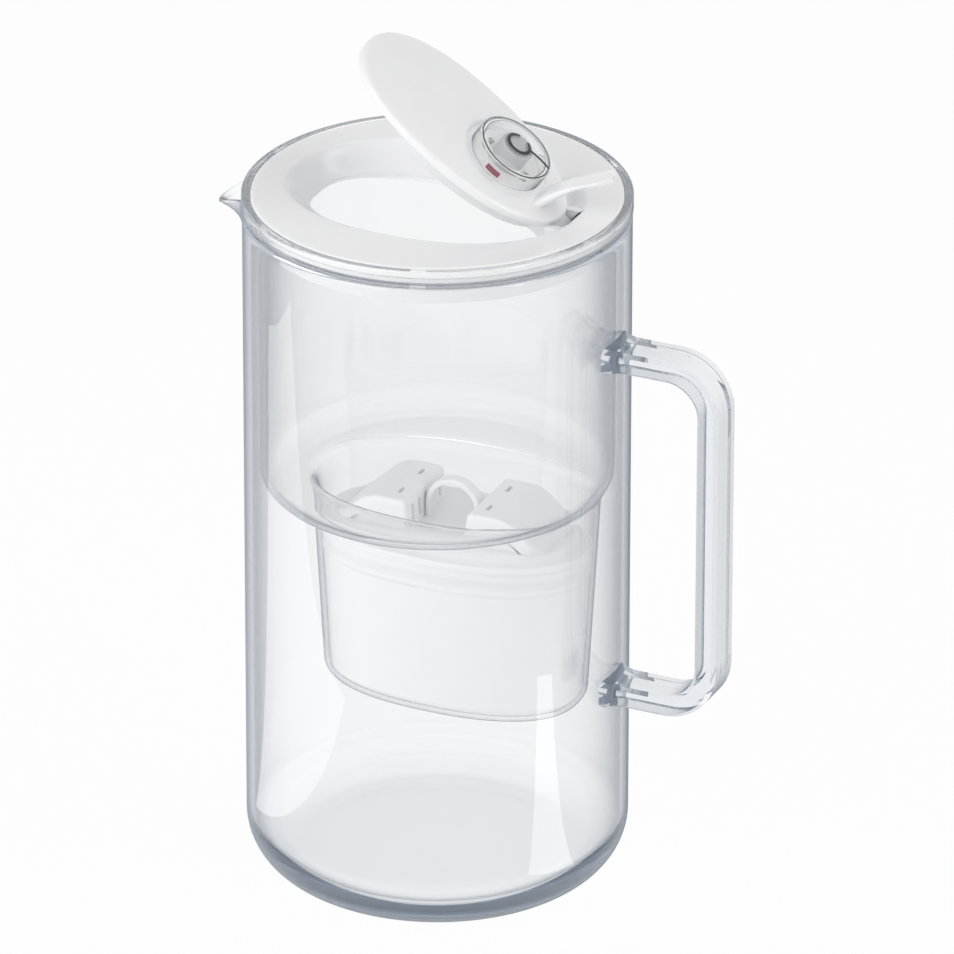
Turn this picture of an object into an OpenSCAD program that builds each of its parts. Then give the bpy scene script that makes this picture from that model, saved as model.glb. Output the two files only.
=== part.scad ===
// Water filter pitcher: a glass jug, a lift-out funnel with an oval filter
// cartridge, and a lid whose flap lifts over the filling hole and carries a dial.
// Millimetres, Z up. The origin is the centre of the base. The spout points
// to -X and the handle to +X. The flap stands open, as it is when filling.

/* [Glass jug] */
// Outer diameter of the jug
jug_d = 136; // [124:1:150]
// Height of the glass rim above the base
jug_h = 253; // [225:1:290]
// Thickness of the glass wall
glass_t = 2.8; // [2:0.1:3.6]
// Thickness of the glass base
base_t = 7; // [4:0.5:12]
// Outer radius of the rounded edge of the base
base_r = 21; // [12:1:26]
// How far the spout reaches past the wall
spout_reach = 15.3; // [8:0.1:19]
// How far the rim dips at the tip of the spout
spout_dip = 9.7; // [4:0.1:12]
// Height of the wall that is pulled out into the spout
spout_h = 25; // [18:1:34]
// Half of the angle of wall that the spout takes up
spout_half = 25; // [18:1:32]

/* [Handle] */
// Distance from the wall to the outside of the grip
handle_reach = 42.5; // [34:0.5:50]
// Height of the top of the handle
handle_top = 215; // [190:1:218]
// Height of the bottom of the handle
handle_bottom = 78; // [60:1:110]
// Width of the glass bar, along Y
bar_w = 16.5; // [12:0.5:22]
// Thickness of the glass bar
bar_t = 8; // [6:0.5:11]
// Outer radius of the corners of the handle
handle_r = 20; // [14:1:28]
// Chamfer along the edges of the bar
bar_chamfer = 1.6; // [0.6:0.1:2.4]

/* [Funnel] */
// Outer diameter of the funnel wall
funnel_d = 124.8; // [112:0.2:126]
// Thickness of the plastic wall
funnel_t = 1.8; // [1.4:0.1:2.6]
// Height of the underside of the funnel floor
funnel_floor = 147.5; // [135:0.5:165]
// Outer radius where the funnel wall turns into its floor
funnel_r = 11; // [6:0.5:16]
// Height of the clear collar above the glass rim
collar_h = 6.6; // [5.6:0.1:9]
// Radial thickness of the collar
collar_t = 3.1; // [2.4:0.1:4.5]
// Number of pieces that the rim seal is broken into
seal_parts = 6; // [4:1:8]

/* [Cartridge and its pocket] */
// Half of the pocket's length at its top, along X
pocket_a = 52.6; // [44:0.2:54]
// Half of the pocket's width at its top, along Y
pocket_b = 32.2; // [26:0.2:36]
// How much the pocket narrows on each side towards its bottom
pocket_taper = 4.2; // [2:0.1:6]
// Height of the underside of the pocket
pocket_floor = 69.5; // [55:0.5:90]
// How far the pocket sits from the axis of the jug, towards the handle
pocket_x = 6.9; // [0:0.1:8]
// Height of the top of the cartridge's seal
seal_z = 130.4; // [122:0.2:134]
// Height of the cartridge's seal
seal_h = 9.8; // [6:0.2:12]
// Height of the two humps of the cap above the seal
hump_h = 16.4; // [10:0.2:20]
// Gap between the cartridge and the pocket
cartridge_gap = 0.9; // [0.5:0.1:1.6]

/* [Lid] */
// Thickness of the lid's top
lid_t = 2.2; // [1.8:0.1:3]
// Depth of the skirt below the top of the lid
lid_skirt = 14.7; // [11:0.1:20]
// Half length of the filling hole at its lower edge, along X
hole_a = 45.3; // [40:0.1:47]
// Half width of the filling hole at its lower edge, along Y
hole_b = 25.3; // [22:0.1:28]
// How much longer the hole is at the top of the lid, at each end
flare_x = 9.2; // [6:0.1:10]
// How much wider the hole is at the top of the lid, on each side
flare_y = 17.2; // [10:0.1:20]
// Depth of the flare below the top of the lid
flare_h = 8; // [6:0.1:10]

/* [Flap] */
// Half length of the flap
flap_a = 45.5; // [40:0.1:46.5]
// Half width of the flap
flap_b = 28; // [25.5:0.1:30]
// Thickness of the flap at its edge
flap_t = 3.4; // [2.6:0.1:4]
// Rise of the flap's crown above its edge
flap_crown = 3; // [1:0.1:4]
// Depth of the housing under the flap, from the edge's top
housing_h = 9.5; // [8:0.1:11]
// Angle at which the flap stands open
flap_open = 36.3; // [0:0.1:60]
// Height of the thumb lever above the closed flap's edge
lever_h = 26.4; // [16:0.1:30]
// Width of the thumb lever at its spoon
lever_w = 14; // [10:0.5:18]

/* [Dial] */
// Diameter of the dial's knob
dial_d = 28.7; // [22:0.1:32]
// Height of the knob's wall above the flap's edge
dial_h = 7.3; // [5:0.1:9]
// Rise of the knob's domed top
dial_dome = 2.6; // [1.5:0.1:3.5]
// Distance from the flap's middle to the dial
dial_x = 17.7; // [14:0.1:20]
// Direction of the dial's pointer
pointer_turn = 18.3; // [-180:0.1:180]

/* [Fits] */
// Radial clearance of the hinge pin in the flap
pin_fit = 0.05; // [0.02:0.01:0.1]
// Radial clearance of the dial's axle in the flap
axle_fit = 0.05; // [0.02:0.01:0.1]
// Radial gap between the lid and the funnel
lid_gap = 0.4; // [0.2:0.1:0.8]
// Gap between moving faces that don't bear on each other
free_gap = 0.4; // [0.3:0.1:0.8]

/* [Hidden] */

$fn = 96;
around = 72;
white = [0.93, 0.93, 0.94];
clear = [0.85, 0.88, 0.9, 0.4];
glass = [0.75, 0.82, 0.86, 0.35];
grey = [0.6, 0.6, 0.62];

jug_r = jug_d / 2;
glass_in = jug_r - glass_t;
top_z = jug_h + collar_h;
collar_r = jug_r + 0.3;
collar_in = collar_r - collar_t;
flange_z = jug_h + 1.2;
flange_t = 2;
funnel_out = funnel_d / 2;
funnel_in = funnel_out - funnel_t;

lid_r = collar_in - 0.2;
skirt_r = funnel_in - lid_gap;
hole_x = -0.5;
hinge_x = hole_a + 4.2;
hinge_drop = 9;
hinge_z = top_z - hinge_drop;
pin_r = 1.5;
barrel_r = 3.2;
tongue_w = 13.6;
slot_w = tongue_w + 2 * free_gap;
lug_t = 3;
pin_l = slot_w + 2 * lug_t;
flap_top = top_z - flap_crown;
hinge_setback = 6.3;
flap_x = hinge_x - hinge_setback - flap_a;
plate_in = 3.2;

dial_cx = flap_x + dial_x;
dial_r = dial_d / 2;
axle_r = 2;
hub_r = 6;
dial_floor = flap_top + 0.8;
recess_r = dial_r + 1.9;
knob_top = flap_top + dial_h;
dome_r = (dial_r * dial_r + dial_dome * dial_dome) / (2 * dial_dome);
dome_z = knob_top + dial_dome - dome_r;
knob_t = 1.3;

function signed_pow(v, e) = sign(v) * pow(abs(v), e);
function mix(p, q, f) = p + (q - p) * f;
function wave(f) = (1 - cos(180 * f)) / 2;

// Closed oval: a superellipse with its own exponent on the spout side and
// on the handle side.
function oval(a, b, cx, spout_n, handle_n) = [for (i = [0:around - 1])
    let (t = 360 * (i + 0.5) / around, n = cos(t) < 0 ? spout_n : handle_n)
    [cx + a * signed_pow(cos(t), 2 / n), b * signed_pow(sin(t), 2 / n)]];
function raised(outline, z) = [for (p = outline) [p[0], p[1], z]];
function blend(p, q, f) = [for (i = [0:len(p) - 1]) mix(p[i], q[i], f)];

// Solid through a stack of outlines, lowest first, all with as many points.
module loft(rings) {
    n = len(rings[0]);
    m = len(rings);
    sides = [for (k = [0:m - 2], i = [0:n - 1]) let (j = (i + 1) % n, a = k * n, b = a + n)
        each [[a + i, b + j, a + j], [a + i, b + i, b + j]]];
    bottom = [for (i = [0:n - 1]) i];
    top = [for (i = [n - 1:-1:0]) (m - 1) * n + i];
    polyhedron([for (ring = rings, p = ring) p], concat(sides, [bottom], [top]));
}

// Turns the flap and what rides on it about the hinge pin.
module flap_pose() {
    translate([hinge_x, 0, hinge_z]) rotate([0, flap_open, 0]) translate([-hinge_x, 0, -hinge_z])
        children();
}

// Half of the section of a round-cornered vessel, for turning about Z.
module vessel_half(r, corner, z0, z1) {
    difference() {
        translate([0, z0]) square([r, z1 - z0]);
        translate([r - corner, z0]) difference() {
            square([corner, corner]);
            translate([0, corner]) circle(corner);
        }
    }
}

// Glass jug

wall_top = jug_h - glass_t / 2;
split_z = wall_top - spout_h;
spout_cols = 24;
spout_rows = 8;
rim_rows = 5;
spout_root = 2.5;
spout_sunk = 0.6;
spout_proud = 0.03;

function spout_side(turn) = pow((1 + cos(180 * min(1, abs(turn) / spout_half))) / 2, 1.4);
function spout_rise(t) = pow(t, 2.3);
// One column of the spout: up the outside, over the rim and down the inside.
// grow widens its section; both ends of the column are sunk in the wall below.
function spout_column(turn, grow) = let (g = spout_side(turn), cap = glass_t / 2,
        rim = (cap + grow) / cos(90 / (rim_rows + 1)), foot = -spout_root / spout_h)
    [for (q = concat(
        [[jug_r - spout_sunk, foot, 0]],
        [for (k = [0:spout_rows]) [jug_r + grow, k / spout_rows, 0]],
        [for (k = [1:rim_rows]) let (w = 180 * k / (rim_rows + 1))
            [jug_r - cap + rim * cos(w), 1, rim * sin(w)]],
        [for (k = [spout_rows:-1:0]) [glass_in - grow, k / spout_rows, 0]],
        [[glass_in + spout_sunk, foot, 0]]))
        let (up = max(0, q[1]), r = q[0] + spout_reach * g * spout_rise(up),
            z = split_z + spout_h * q[1] + q[2] - spout_dip * g * pow(up, 2))
        [r * cos(180 + turn), r * sin(180 + turn), z]];

// The spout, with a root all round it that runs into the wall.
module spout() {
    edge = spout_half + spout_root;
    cols = concat([spout_column(-edge, -spout_sunk)],
        [for (k = [0:spout_cols]) spout_column(spout_half * (2 * k / spout_cols - 1), spout_proud)],
        [spout_column(edge, -spout_sunk)]);
    n = len(cols[0]);
    m = len(cols);
    skin = [for (k = [0:m - 2], i = [0:n - 1]) let (j = (i + 1) % n, a = k * n, b = a + n)
        each [[a + i, a + j, b + j], [a + i, b + j, b + i]]];
    r = spout_rows + 1;
    end = concat(
        [for (k = [0:r - 1]) each [[k, k + 1, n - 2 - k], [k, n - 2 - k, n - 1 - k]]],
        [for (k = [1:rim_rows]) [r, r + k, r + k + 1]]);
    first = [for (f = end) [f[2], f[1], f[0]]];
    last = [for (f = end) [for (v = f) (m - 1) * n + v]];
    polyhedron([for (c = cols, p = c) p], concat(skin, first, last));
}

module glass_jug() {
    color(glass) {
        difference() {
            rotate_extrude() {
                difference() {
                    vessel_half(jug_r, base_r, 0, wall_top);
                    vessel_half(glass_in, base_r - glass_t - 2, base_t, wall_top + 1);
                }
                translate([jug_r - glass_t / 2, wall_top]) circle(glass_t / 2);
            }
            rotate([0, 0, 180 - spout_half]) rotate_extrude(angle = 2 * spout_half)
                translate([glass_in - glass_t, split_z]) square([3 * glass_t, 2 * spout_h]);
        }
        spout();
    }
}

// Handle

handle_out = jug_r + handle_reach;
corner_in = handle_r - bar_t / 2;
foot_l = 6;
foot_grow = 1.24;

// Section of the bar: thickness along X, width along Y, with chamfered edges.
module bar_section() {
    c = bar_chamfer;
    x = bar_t / 2;
    y = bar_w / 2;
    polygon([[-x + c, -y], [x - c, -y], [x, -y + c], [x, y - c],
        [x - c, y], [-x + c, y], [-x, y - c], [-x, -y + c]]);
}

// A level leg from the wall to the corner, centred at height z.
module handle_leg(z) {
    x1 = handle_out - handle_r;
    translate([glass_in, 0, z]) rotate([0, 90, 0]) linear_extrude(x1 - glass_in) bar_section();
    translate([jug_r + foot_l, 0, z]) rotate([0, -90, 0])
        linear_extrude(foot_l + glass_t, scale = foot_grow) bar_section();
}

// Quarter turn of the bar about an axis along Y; flip is -1 for the lower one.
module handle_corner(z, flip) {
    translate([handle_out - handle_r, 0, z]) scale([1, 1, flip]) rotate([90, 0, 0])
        rotate_extrude(angle = 90) translate([corner_in, 0]) bar_section();
}

module glass_handle() {
    top_mid = handle_top - bar_t / 2;
    bottom_mid = handle_bottom + bar_t / 2;
    color(glass) difference() {
        union() {
            handle_leg(top_mid);
            handle_leg(bottom_mid);
            handle_corner(handle_top - handle_r, 1);
            mirror([0, 0, 1]) handle_corner(-(handle_bottom + handle_r), 1);
            translate([handle_out - bar_t / 2, 0, handle_bottom + handle_r])
                linear_extrude(handle_top - handle_bottom - 2 * handle_r) bar_section();
        }
        translate([0, 0, handle_bottom - 20]) cylinder(h = handle_top - handle_bottom + 40, r = jug_r);
    }
}

// Funnel: the filling chamber, with its collar and the pocket for the cartridge

pocket_corner = 7;

function pocket_part(z) = (z - pocket_floor) / (funnel_floor - pocket_floor);
// Outline of the pocket at height z, moved in by a distance.
function pocket_at(z, inset) = let (s = pocket_taper * (1 - pocket_part(z)) + inset)
    raised(oval(pocket_a - s, pocket_b - s, pocket_x, 2.3, 2.3), z);
function flat(ring) = [for (p = ring) [p[0], p[1]]];
// Rounded foot of a pocket-shaped solid: from its flat bottom to its full width.
function pocket_foot(z, inset, corner) = [for (w = [0, 22, 45, 68, 90])
    raised(flat(pocket_at(z, inset + corner * (1 - sin(w)))), z + corner * (1 - cos(w)))];
// Solid with a rounded foot at z0 that widens up to z1.
module pocket_solid(z0, z1, inset, corner) {
    loft(concat(pocket_foot(z0, inset, corner), [pocket_at(z1, inset)]));
}
// The same up to the hopper's floor, and straight on from there to z1.
module pocket_well(z0, z1, inset, corner) {
    mouth = pocket_at(funnel_floor, inset);
    loft(concat(pocket_foot(z0, inset, corner), [mouth, raised(flat(mouth), z1)]));
}

// The space inside the hopper, up to a height.
module hopper_inside(z1) {
    rotate_extrude() vessel_half(funnel_in, funnel_r - funnel_t, funnel_floor + funnel_t, z1);
}

module funnel_hopper() {
    lip = collar_t / 4;
    color(clear) difference() {
        rotate_extrude() {
            difference() {
                vessel_half(funnel_out, funnel_r, funnel_floor, flange_z + flange_t);
                vessel_half(funnel_in, funnel_r - funnel_t, funnel_floor + funnel_t, top_z + 1);
            }
            translate([funnel_in, flange_z]) square([collar_r - funnel_in, flange_t]);
            translate([collar_in, flange_z]) square([collar_t, top_z - flange_z - lip]);
            translate([collar_in + lip, flange_z]) square([collar_t - 2 * lip, top_z - flange_z]);
            for (x = [collar_in + lip, collar_r - lip]) translate([x, top_z - lip]) circle(lip);
        }
        translate([0, 0, funnel_floor - 1]) linear_extrude(funnel_r + 1)
            polygon(flat(pocket_at(funnel_floor, 0)));
    }
}

// Slots that drain the pocket, counted on each side of the middle one.
drains = 3;
drain_w = 3;
drain_pitch = (pocket_a - pocket_taper) / 6;
drain_l = (pocket_b - pocket_taper) * 0.64;

module cartridge_pocket() {
    top = funnel_floor + funnel_r;
    color(clear) difference() {
        pocket_well(pocket_floor, top, 0, pocket_corner);
        pocket_well(pocket_floor + funnel_t, top + 1, funnel_t, pocket_corner - funnel_t);
        hopper_inside(top + 1);
        for (k = [-drains:drains])
            translate([pocket_x + k * drain_pitch - drain_w / 2, -drain_l / 2, pocket_floor - 1])
                cube([drain_w, drain_l, funnel_t + 2]);
    }
}

// Angle between two pieces of the seal, and the direction of one such gap.
seal_split = 5;
seal_start = -71;
seal_rest = 0.15;

module rim_seal() {
    step = 360 / seal_parts;
    z0 = jug_h + seal_rest;
    color(clear) for (k = [0:seal_parts - 1])
        rotate([0, 0, seal_start + seal_split / 2 + k * step]) rotate_extrude(angle = step - seal_split)
            translate([glass_in, z0]) square([glass_t, flange_z - z0]);
}

// Filter cartridge

shell_in = funnel_t + cartridge_gap;
shell_rest = 0.3;
shell_z = pocket_floor + funnel_t + shell_rest;
shell_t = 1.6;
shell_corner = 4;
seal_base = seal_z - seal_h;
// What lies in the shell keeps a little off its tapered wall.
inner_in = shell_in + shell_t + 0.35;
screen_t = 0.8;
screen_z = seal_z - 6;

module cartridge_shell() {
    inside = shell_in + shell_t;
    slot_l = drain_l - 2;
    color(white) difference() {
        pocket_solid(shell_z, seal_z, shell_in, shell_corner + 1);
        loft(concat(pocket_foot(shell_z + shell_t, inside, shell_corner),
            [pocket_at(seal_z, inside), pocket_at(seal_z + 1, inside)]));
        for (k = [-drains - 1:drains + 1])
            translate([pocket_x + k * (drain_pitch - 1) - 1, -slot_l / 2, shell_z - 1])
                cube([2, slot_l, shell_t + 2]);
    }
}

// Soft band round the shell's top, with a lip along each of its edges.
module cartridge_seal() {
    lip = funnel_t + 0.3;
    band = lip + 0.4;
    lip_h = 3;
    ease = 0.6;
    low = [for (q = [[0, band], [ease * 2, lip], [lip_h, lip], [lip_h + ease, band]])
        pocket_at(seal_base + q[0], q[1])];
    high = [for (q = [[lip_h + ease, band], [lip_h, lip], [ease * 2, lip], [0, band]])
        pocket_at(seal_z - q[0], q[1])];
    color(white) difference() {
        loft(concat(low, high));
        loft([pocket_at(seal_base - 1, shell_in), pocket_at(seal_z + 1, shell_in)]);
    }
}

hump_in = 11.2;
hump_flat = hump_in + 11.8;
hump_out = pocket_a - 7.6;
hump_w = pocket_b + 0.8;
hump_top = seal_z + hump_h;
cap_rim = shell_in - 0.6;
cap_base = 2.4;
cap_rise = 2.6;
cap_top = seal_z + cap_base + cap_rise;

// Section of one hump, X outward from the middle of the cartridge: a steep
// inner face with an eased edge, a flat top and a long outer slope.
module hump_section() {
    run = 10;
    foot = cap_top - 2;
    slope = [for (k = [0:run]) [mix(hump_flat, hump_out, k / run), mix(hump_top, foot, wave(k / run))]];
    edge = [[hump_in, hump_top - 2.6], [hump_in + 1.6, hump_top - 0.5], [hump_in + 4, hump_top]];
    polygon(concat([[hump_in, foot - 1]], edge, slope, [[hump_out, foot - 1]]));
}

// Plate of the cap: a rim that covers the seal, and a low dome inside it.
module cap_plate() {
    rim = [[0, 0], [cap_base - 0.6, 0], [cap_base, 0.6], [cap_base + 0.2, 3]];
    dome = [[cap_base + cap_rise - 0.6, 5], [cap_base + cap_rise, 6.4]];
    loft([for (q = concat(rim, dome)) pocket_at(seal_z + q[0], cap_rim + q[1])]);
}

module cartridge_cap() {
    wall = 3.2;
    vent_x = hump_in + 5.8;
    vent_y = hump_w / 4;
    ribs = 2;
    rib_x = hump_in + 2;
    color(white) difference() {
        union() {
            cap_plate();
            intersection() {
                for (side = [0, 1]) translate([pocket_x, hump_w / 2, 0]) mirror([side, 0, 0])
                    rotate([90, 0, 0]) linear_extrude(hump_w) hump_section();
                linear_extrude(hump_top + 1) polygon(flat(pocket_at(seal_z, cap_rim + 2)));
            }
        }
        loft([pocket_at(seal_z - 1, cap_rim + wall), pocket_at(seal_z + cap_base - 0.4, cap_rim + wall),
            pocket_at(cap_top - 1.8, cap_rim + 7)]);
        for (side = [-1, 1]) {
            for (y = [-vent_y, vent_y])
                translate([pocket_x + side * vent_x - 0.7, y - 2.2, seal_z + 3]) cube([1.4, 4.4, hump_h]);
            for (k = [-ribs:ribs])
                translate([pocket_x + side * rib_x - 3, k * hump_w / 6 - 0.9, cap_top + 1.6])
                    cube([6, 1.8, hump_h - 9.6]);
        }
    }
}

// Arch between the two humps, to pull the cartridge out by.
module cartridge_loop() {
    loop_r = hump_in - 0.8;
    bar = 2;
    bar_width = 5;
    arc_z = hump_top + 4.6 - loop_r;
    color(white) translate([pocket_x, 0, arc_z]) {
        rotate([90, 0, 0]) rotate_extrude(angle = 180)
            translate([loop_r - bar, -bar_width / 2]) square([bar, bar_width]);
        for (side = [-1, 1])
            translate([side * (loop_r - bar / 2) - bar / 2, -bar_width / 2, cap_top - arc_z])
                cube([bar, bar_width, arc_z - cap_top]);
    }
}

module cartridge_media() {
    z0 = shell_z + shell_t + screen_t;
    color(grey) loft([pocket_at(z0, inner_in + shell_corner), pocket_at(z0 + shell_corner, inner_in),
        pocket_at(screen_z, inner_in)]);
}

// A thin oval screen inside the cartridge, seated at height z.
module screen(z, inset) {
    color(white) loft([pocket_at(z, inset), pocket_at(z + screen_t, inset)]);
}
module upper_screen() {
    screen(screen_z, inner_in);
}
module lower_screen() {
    screen(shell_z + shell_t, inner_in + shell_corner);
}

// Lid

hole_low = oval(hole_a, hole_b, hole_x, 2.7, 2.2);
hole_top = oval(hole_a + flare_x, hole_b + flare_y, hole_x, 2.2, 2.1);
flare_steps = 9;
function flare(f, drop) = raised(blend(hole_low, hole_top, f), top_z - flare_h * (1 - wave(f)) - drop);
throat_t = 1.8;

// The space in the filling hole, from under the lid to above it.
module hole_space() {
    sides = [for (k = [0:flare_steps]) flare(k / flare_steps, 0)];
    loft(concat([raised(hole_low, top_z - flare_h - 8)], sides, [raised(hole_top, top_z + 2)]));
}

module lid() {
    edge = 0.9;
    seat_z = flange_z + flange_t;
    skirt_in = skirt_r - funnel_t;
    well_l = 12;
    under = [for (k = [0:flare_steps]) flare(k / flare_steps, mix(throat_t, lid_t, k / flare_steps))];
    color(white) difference() {
        union() {
            rotate_extrude() {
                translate([0, top_z - lid_t]) square([lid_r - edge, lid_t]);
                translate([0, top_z - lid_t]) square([lid_r, lid_t - edge]);
                translate([lid_r - edge, top_z - edge]) circle(edge);
                translate([skirt_in, seat_z]) square([lid_r - skirt_in, top_z - lid_t - seat_z]);
                translate([skirt_in, top_z - lid_skirt]) square([skirt_r - skirt_in, lid_skirt - lid_t]);
            }
            loft(concat(under, [raised(hole_top, top_z - lid_t / 2)]));
            for (side = [0, 1]) mirror([0, side, 0]) translate([0, slot_w / 2, 0]) hinge_lug();
        }
        hole_space();
        translate([hinge_x - well_l, -slot_w / 2, top_z - 20])
            cube([well_l + barrel_r + free_gap, slot_w, 22]);
        along_pin(pin_l + 2) cylinder(h = pin_l + 2, r = pin_r);
    }
}

// Places what is drawn along Z on the hinge pin's line, with its middle on X.
module along_pin(l) {
    translate([hinge_x, l / 2, hinge_z]) rotate([90, 0, 0]) children();
}

// Cheek beside the hinge slot, moulded on the lid's underside.
module hinge_lug() {
    lug_r = pin_r + 2.6;
    translate([hinge_x, 0, hinge_z]) rotate([-90, 0, 0]) cylinder(h = lug_t, r = lug_r);
    translate([hinge_x - lug_r, 0, hinge_z]) cube([2 * lug_r, lug_t, hinge_drop - lid_t / 2]);
}

// Open tray that closes the hinge well under the lid.
module hinge_cover() {
    wall = 1.4;
    reach = 7;
    x0 = hinge_x - reach + 0.8;
    x1 = hinge_x + reach;
    y = slot_w / 2 + lug_t + 0.2;
    z0 = hinge_z - reach;
    z1 = top_z - flare_h - throat_t - 1.6;
    color(white) difference() {
        translate([x0, -y - wall, z0]) cube([x1 - x0, 2 * (y + wall), z1 - z0]);
        translate([x0 - 1, -y, z0 + wall]) cube([x1 - x0 + 1 - wall, 2 * y, 20]);
    }
}

module hinge_pin() {
    color(grey) along_pin(pin_l) cylinder(h = pin_l, r = pin_r);
}

// Flap

function flap_outline(inset) = oval(flap_a - inset, flap_b - inset, flap_x, 2.3, 2);
function flap_ring(inset, rise) = raised(flap_outline(inset), flap_top + rise);
// Outline drawn in towards the middle by a share, on the crown.
function crown_ring(q) = [for (p = flap_outline(1.2))
    [flap_x + (p[0] - flap_x) * q, p[1] * q, flap_top + flap_crown * (1 - q * q)]];
liner_in = 4.2;
liner_t = 1.4;
// Rounded edge of the flap as [inset, height], from its underside up.
flap_edge = [[0.7, -flap_t], [0.2, 0.25 - flap_t], [0, 0.7 - flap_t], [0, -1.1], [0.3, -0.5], [0.7, -0.15]];

module flap_cover() {
    color(white) flap_pose() difference() {
        union() {
            loft(concat([for (e = flap_edge) flap_ring(e[0], e[1])],
                [for (q = [1, 0.92, 0.8, 0.64, 0.44, 0.22]) crown_ring(q)]));
            thumb_lever();
        }
        translate([0, 0, flap_top - flap_t - 1]) linear_extrude(1 + liner_t + 0.2)
            polygon(flap_outline(liner_in));
        translate([dial_cx, 0, dial_floor]) {
            cylinder(h = 10, r = recess_r);
            translate([0, 0, 0.9]) cylinder(h = 3, r1 = recess_r, r2 = recess_r + 3.6);
        }
        translate([dial_cx, 0, flap_top - 10]) cylinder(h = 20, r = axle_r + axle_fit);
    }
}

// Thumb lever: stations along its middle line as [along X, height, width,
// thickness], in the flap's closed frame, above its edge.
lever_x = flap_x + flap_a - 6.4;
lever_path = [for (u = [0:0.1:1]) let (
    waist = mix(lever_w + 3, lever_w - 3, min(1, 2.2 * u)),
    spoon = 3 * wave(max(0, (u - 0.45) / 0.55)),
    thick = mix(5.2, 2, min(1, 1.5 * u)))
    [lever_x - 3 + 13.6 * pow(u, 2.1) + 2.6 * sin(180 * u), -1.2 + (lever_h + 1.2) * pow(u, 0.9),
        waist + spoon, thick]];
lever_last = len(lever_path) - 1;
function lever_dir(k) = let (a = lever_path[max(0, k - 1)], b = lever_path[min(lever_last, k + 1)])
    [b[0] - a[0], b[1] - a[1]] / norm([b[0] - a[0], b[1] - a[1]]);
// Rounded slab section across the lever, hollowed a little on its thumb side.
function lever_ring(k, shrink) = let (s = lever_path[k], d = lever_dir(k))
    [for (i = [0:23]) let (t = 15 * i, y = (shrink - s[2] / 2) * signed_pow(cos(t), 0.7),
        w = (s[3] / 2 - shrink * 0.4) * signed_pow(sin(t), 0.7),
        dish = k > 4 ? 1.2 * wave((k - 4) / 6) * (pow(2 * y / s[2], 2) - 1) : 0)
        [s[0] + (w - dish) * d[1], y, flap_top + s[1] - (w - dish) * d[0]]];

module thumb_lever() {
    d = lever_dir(lever_last);
    tip = [for (p = lever_ring(lever_last, 1.6)) p + [d[0], 0, d[1]] * 1.1];
    loft(concat([for (k = [0:lever_last]) lever_ring(k, 0)], [tip]));
}

housing_x0 = flap_x + 1.3;
housing_slope = 10;

module flap_base() {
    z1 = flap_top - flap_t;
    z0 = flap_top - housing_h;
    wall = 1.8;
    web_room = 6.5;
    color(white) flap_pose() difference() {
        union() {
            translate([0, 0, z1 + 0.1]) linear_extrude(liner_t) polygon(flap_outline(liner_in + 0.1));
            intersection() {
                translate([0, 0, z0]) linear_extrude(z1 - z0 + 0.2) polygon(flap_outline(plate_in + 1.1));
                housing_block(0);
            }
            hinge_tongue();
        }
        translate([0, 0, z0 + wall]) intersection() {
            linear_extrude(z1 - z0 - wall) polygon(flap_outline(plate_in + 1.1 + wall));
            translate([0, 0, -z0 - wall]) housing_block(wall);
            translate([-jug_r, -jug_r, -1]) cube([jug_r + hinge_x - barrel_r - web_room, jug_d, housing_h]);
        }
        translate([dial_cx, 0, z0 + wall + 1]) cylinder(h = housing_h, r = axle_r + 2.8);
        along_pin(2 * tongue_w) cylinder(h = 2 * tongue_w, r = pin_r + pin_fit);
    }
}

// Half space of the housing, with its slanted front face.
module housing_block(inset) {
    z1 = flap_top - flap_t + 0.2;
    z0 = flap_top - housing_h;
    x = housing_x0 + inset;
    translate([0, jug_r, 0]) rotate([90, 0, 0]) linear_extrude(jug_d)
        polygon([[x, z0], [x - housing_slope, z1], [jug_d, z1], [jug_d, z0]]);
}

// Barrel round the pin, with a web that runs into the housing under the flap.
module hinge_tongue() {
    web = 14;
    translate([hinge_x, tongue_w / 2, hinge_z]) rotate([90, 0, 0]) linear_extrude(tongue_w) {
        circle(barrel_r);
        translate([-web, -barrel_r]) square([web, barrel_r + flap_top - flap_t - hinge_z]);
    }
}

module flap_seal() {
    z = flap_top - flap_t;
    h = 1.1;
    color(clear) flap_pose() difference() {
        loft([raised(flap_outline(2.2), z - h), raised(flap_outline(1.7), z - h + 0.3),
            raised(flap_outline(1.2), z)]);
        translate([0, 0, z - h - 1]) linear_extrude(h + 2) polygon(flap_outline(plate_in));
        translate([flap_x + flap_a - 8, -slot_w / 2, z - h - 1]) cube([20, slot_w, h + 2]);
    }
}

// Dial on the flap

// Places what is drawn about the dial's own axis.
module at_dial() {
    flap_pose() translate([dial_cx, 0, 0]) children();
}

disc_t = 1;
knob_gap = 0.3;

module scale_disc() {
    color(white) at_dial() translate([0, 0, dial_floor]) difference() {
        cylinder(h = disc_t, r = dial_r - knob_t - knob_gap);
        translate([0, 0, -1]) cylinder(h = disc_t + 2, r = axle_r + 0.4);
    }
}

module index_mark() {
    mark = 25;
    r = dial_r - knob_t - knob_gap;
    color("firebrick") at_dial() rotate([0, 0, -90 - mark / 2]) rotate_extrude(angle = mark)
        translate([r - 0.7, dial_floor + disc_t]) square([0.7, 3]);
}

module dial_hub() {
    z0 = dial_floor + disc_t + 0.1;
    under = flap_top - flap_t + liner_t + 0.2;
    color(grey) at_dial() {
        intersection() {
            translate([0, 0, z0]) cylinder(h = 12, r = hub_r);
            translate([0, 0, dome_z]) sphere(dome_r - knob_t, $fn = 180);
        }
        translate([0, 0, under - 2]) cylinder(h = z0 - under + 3, r = axle_r);
    }
}

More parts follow.
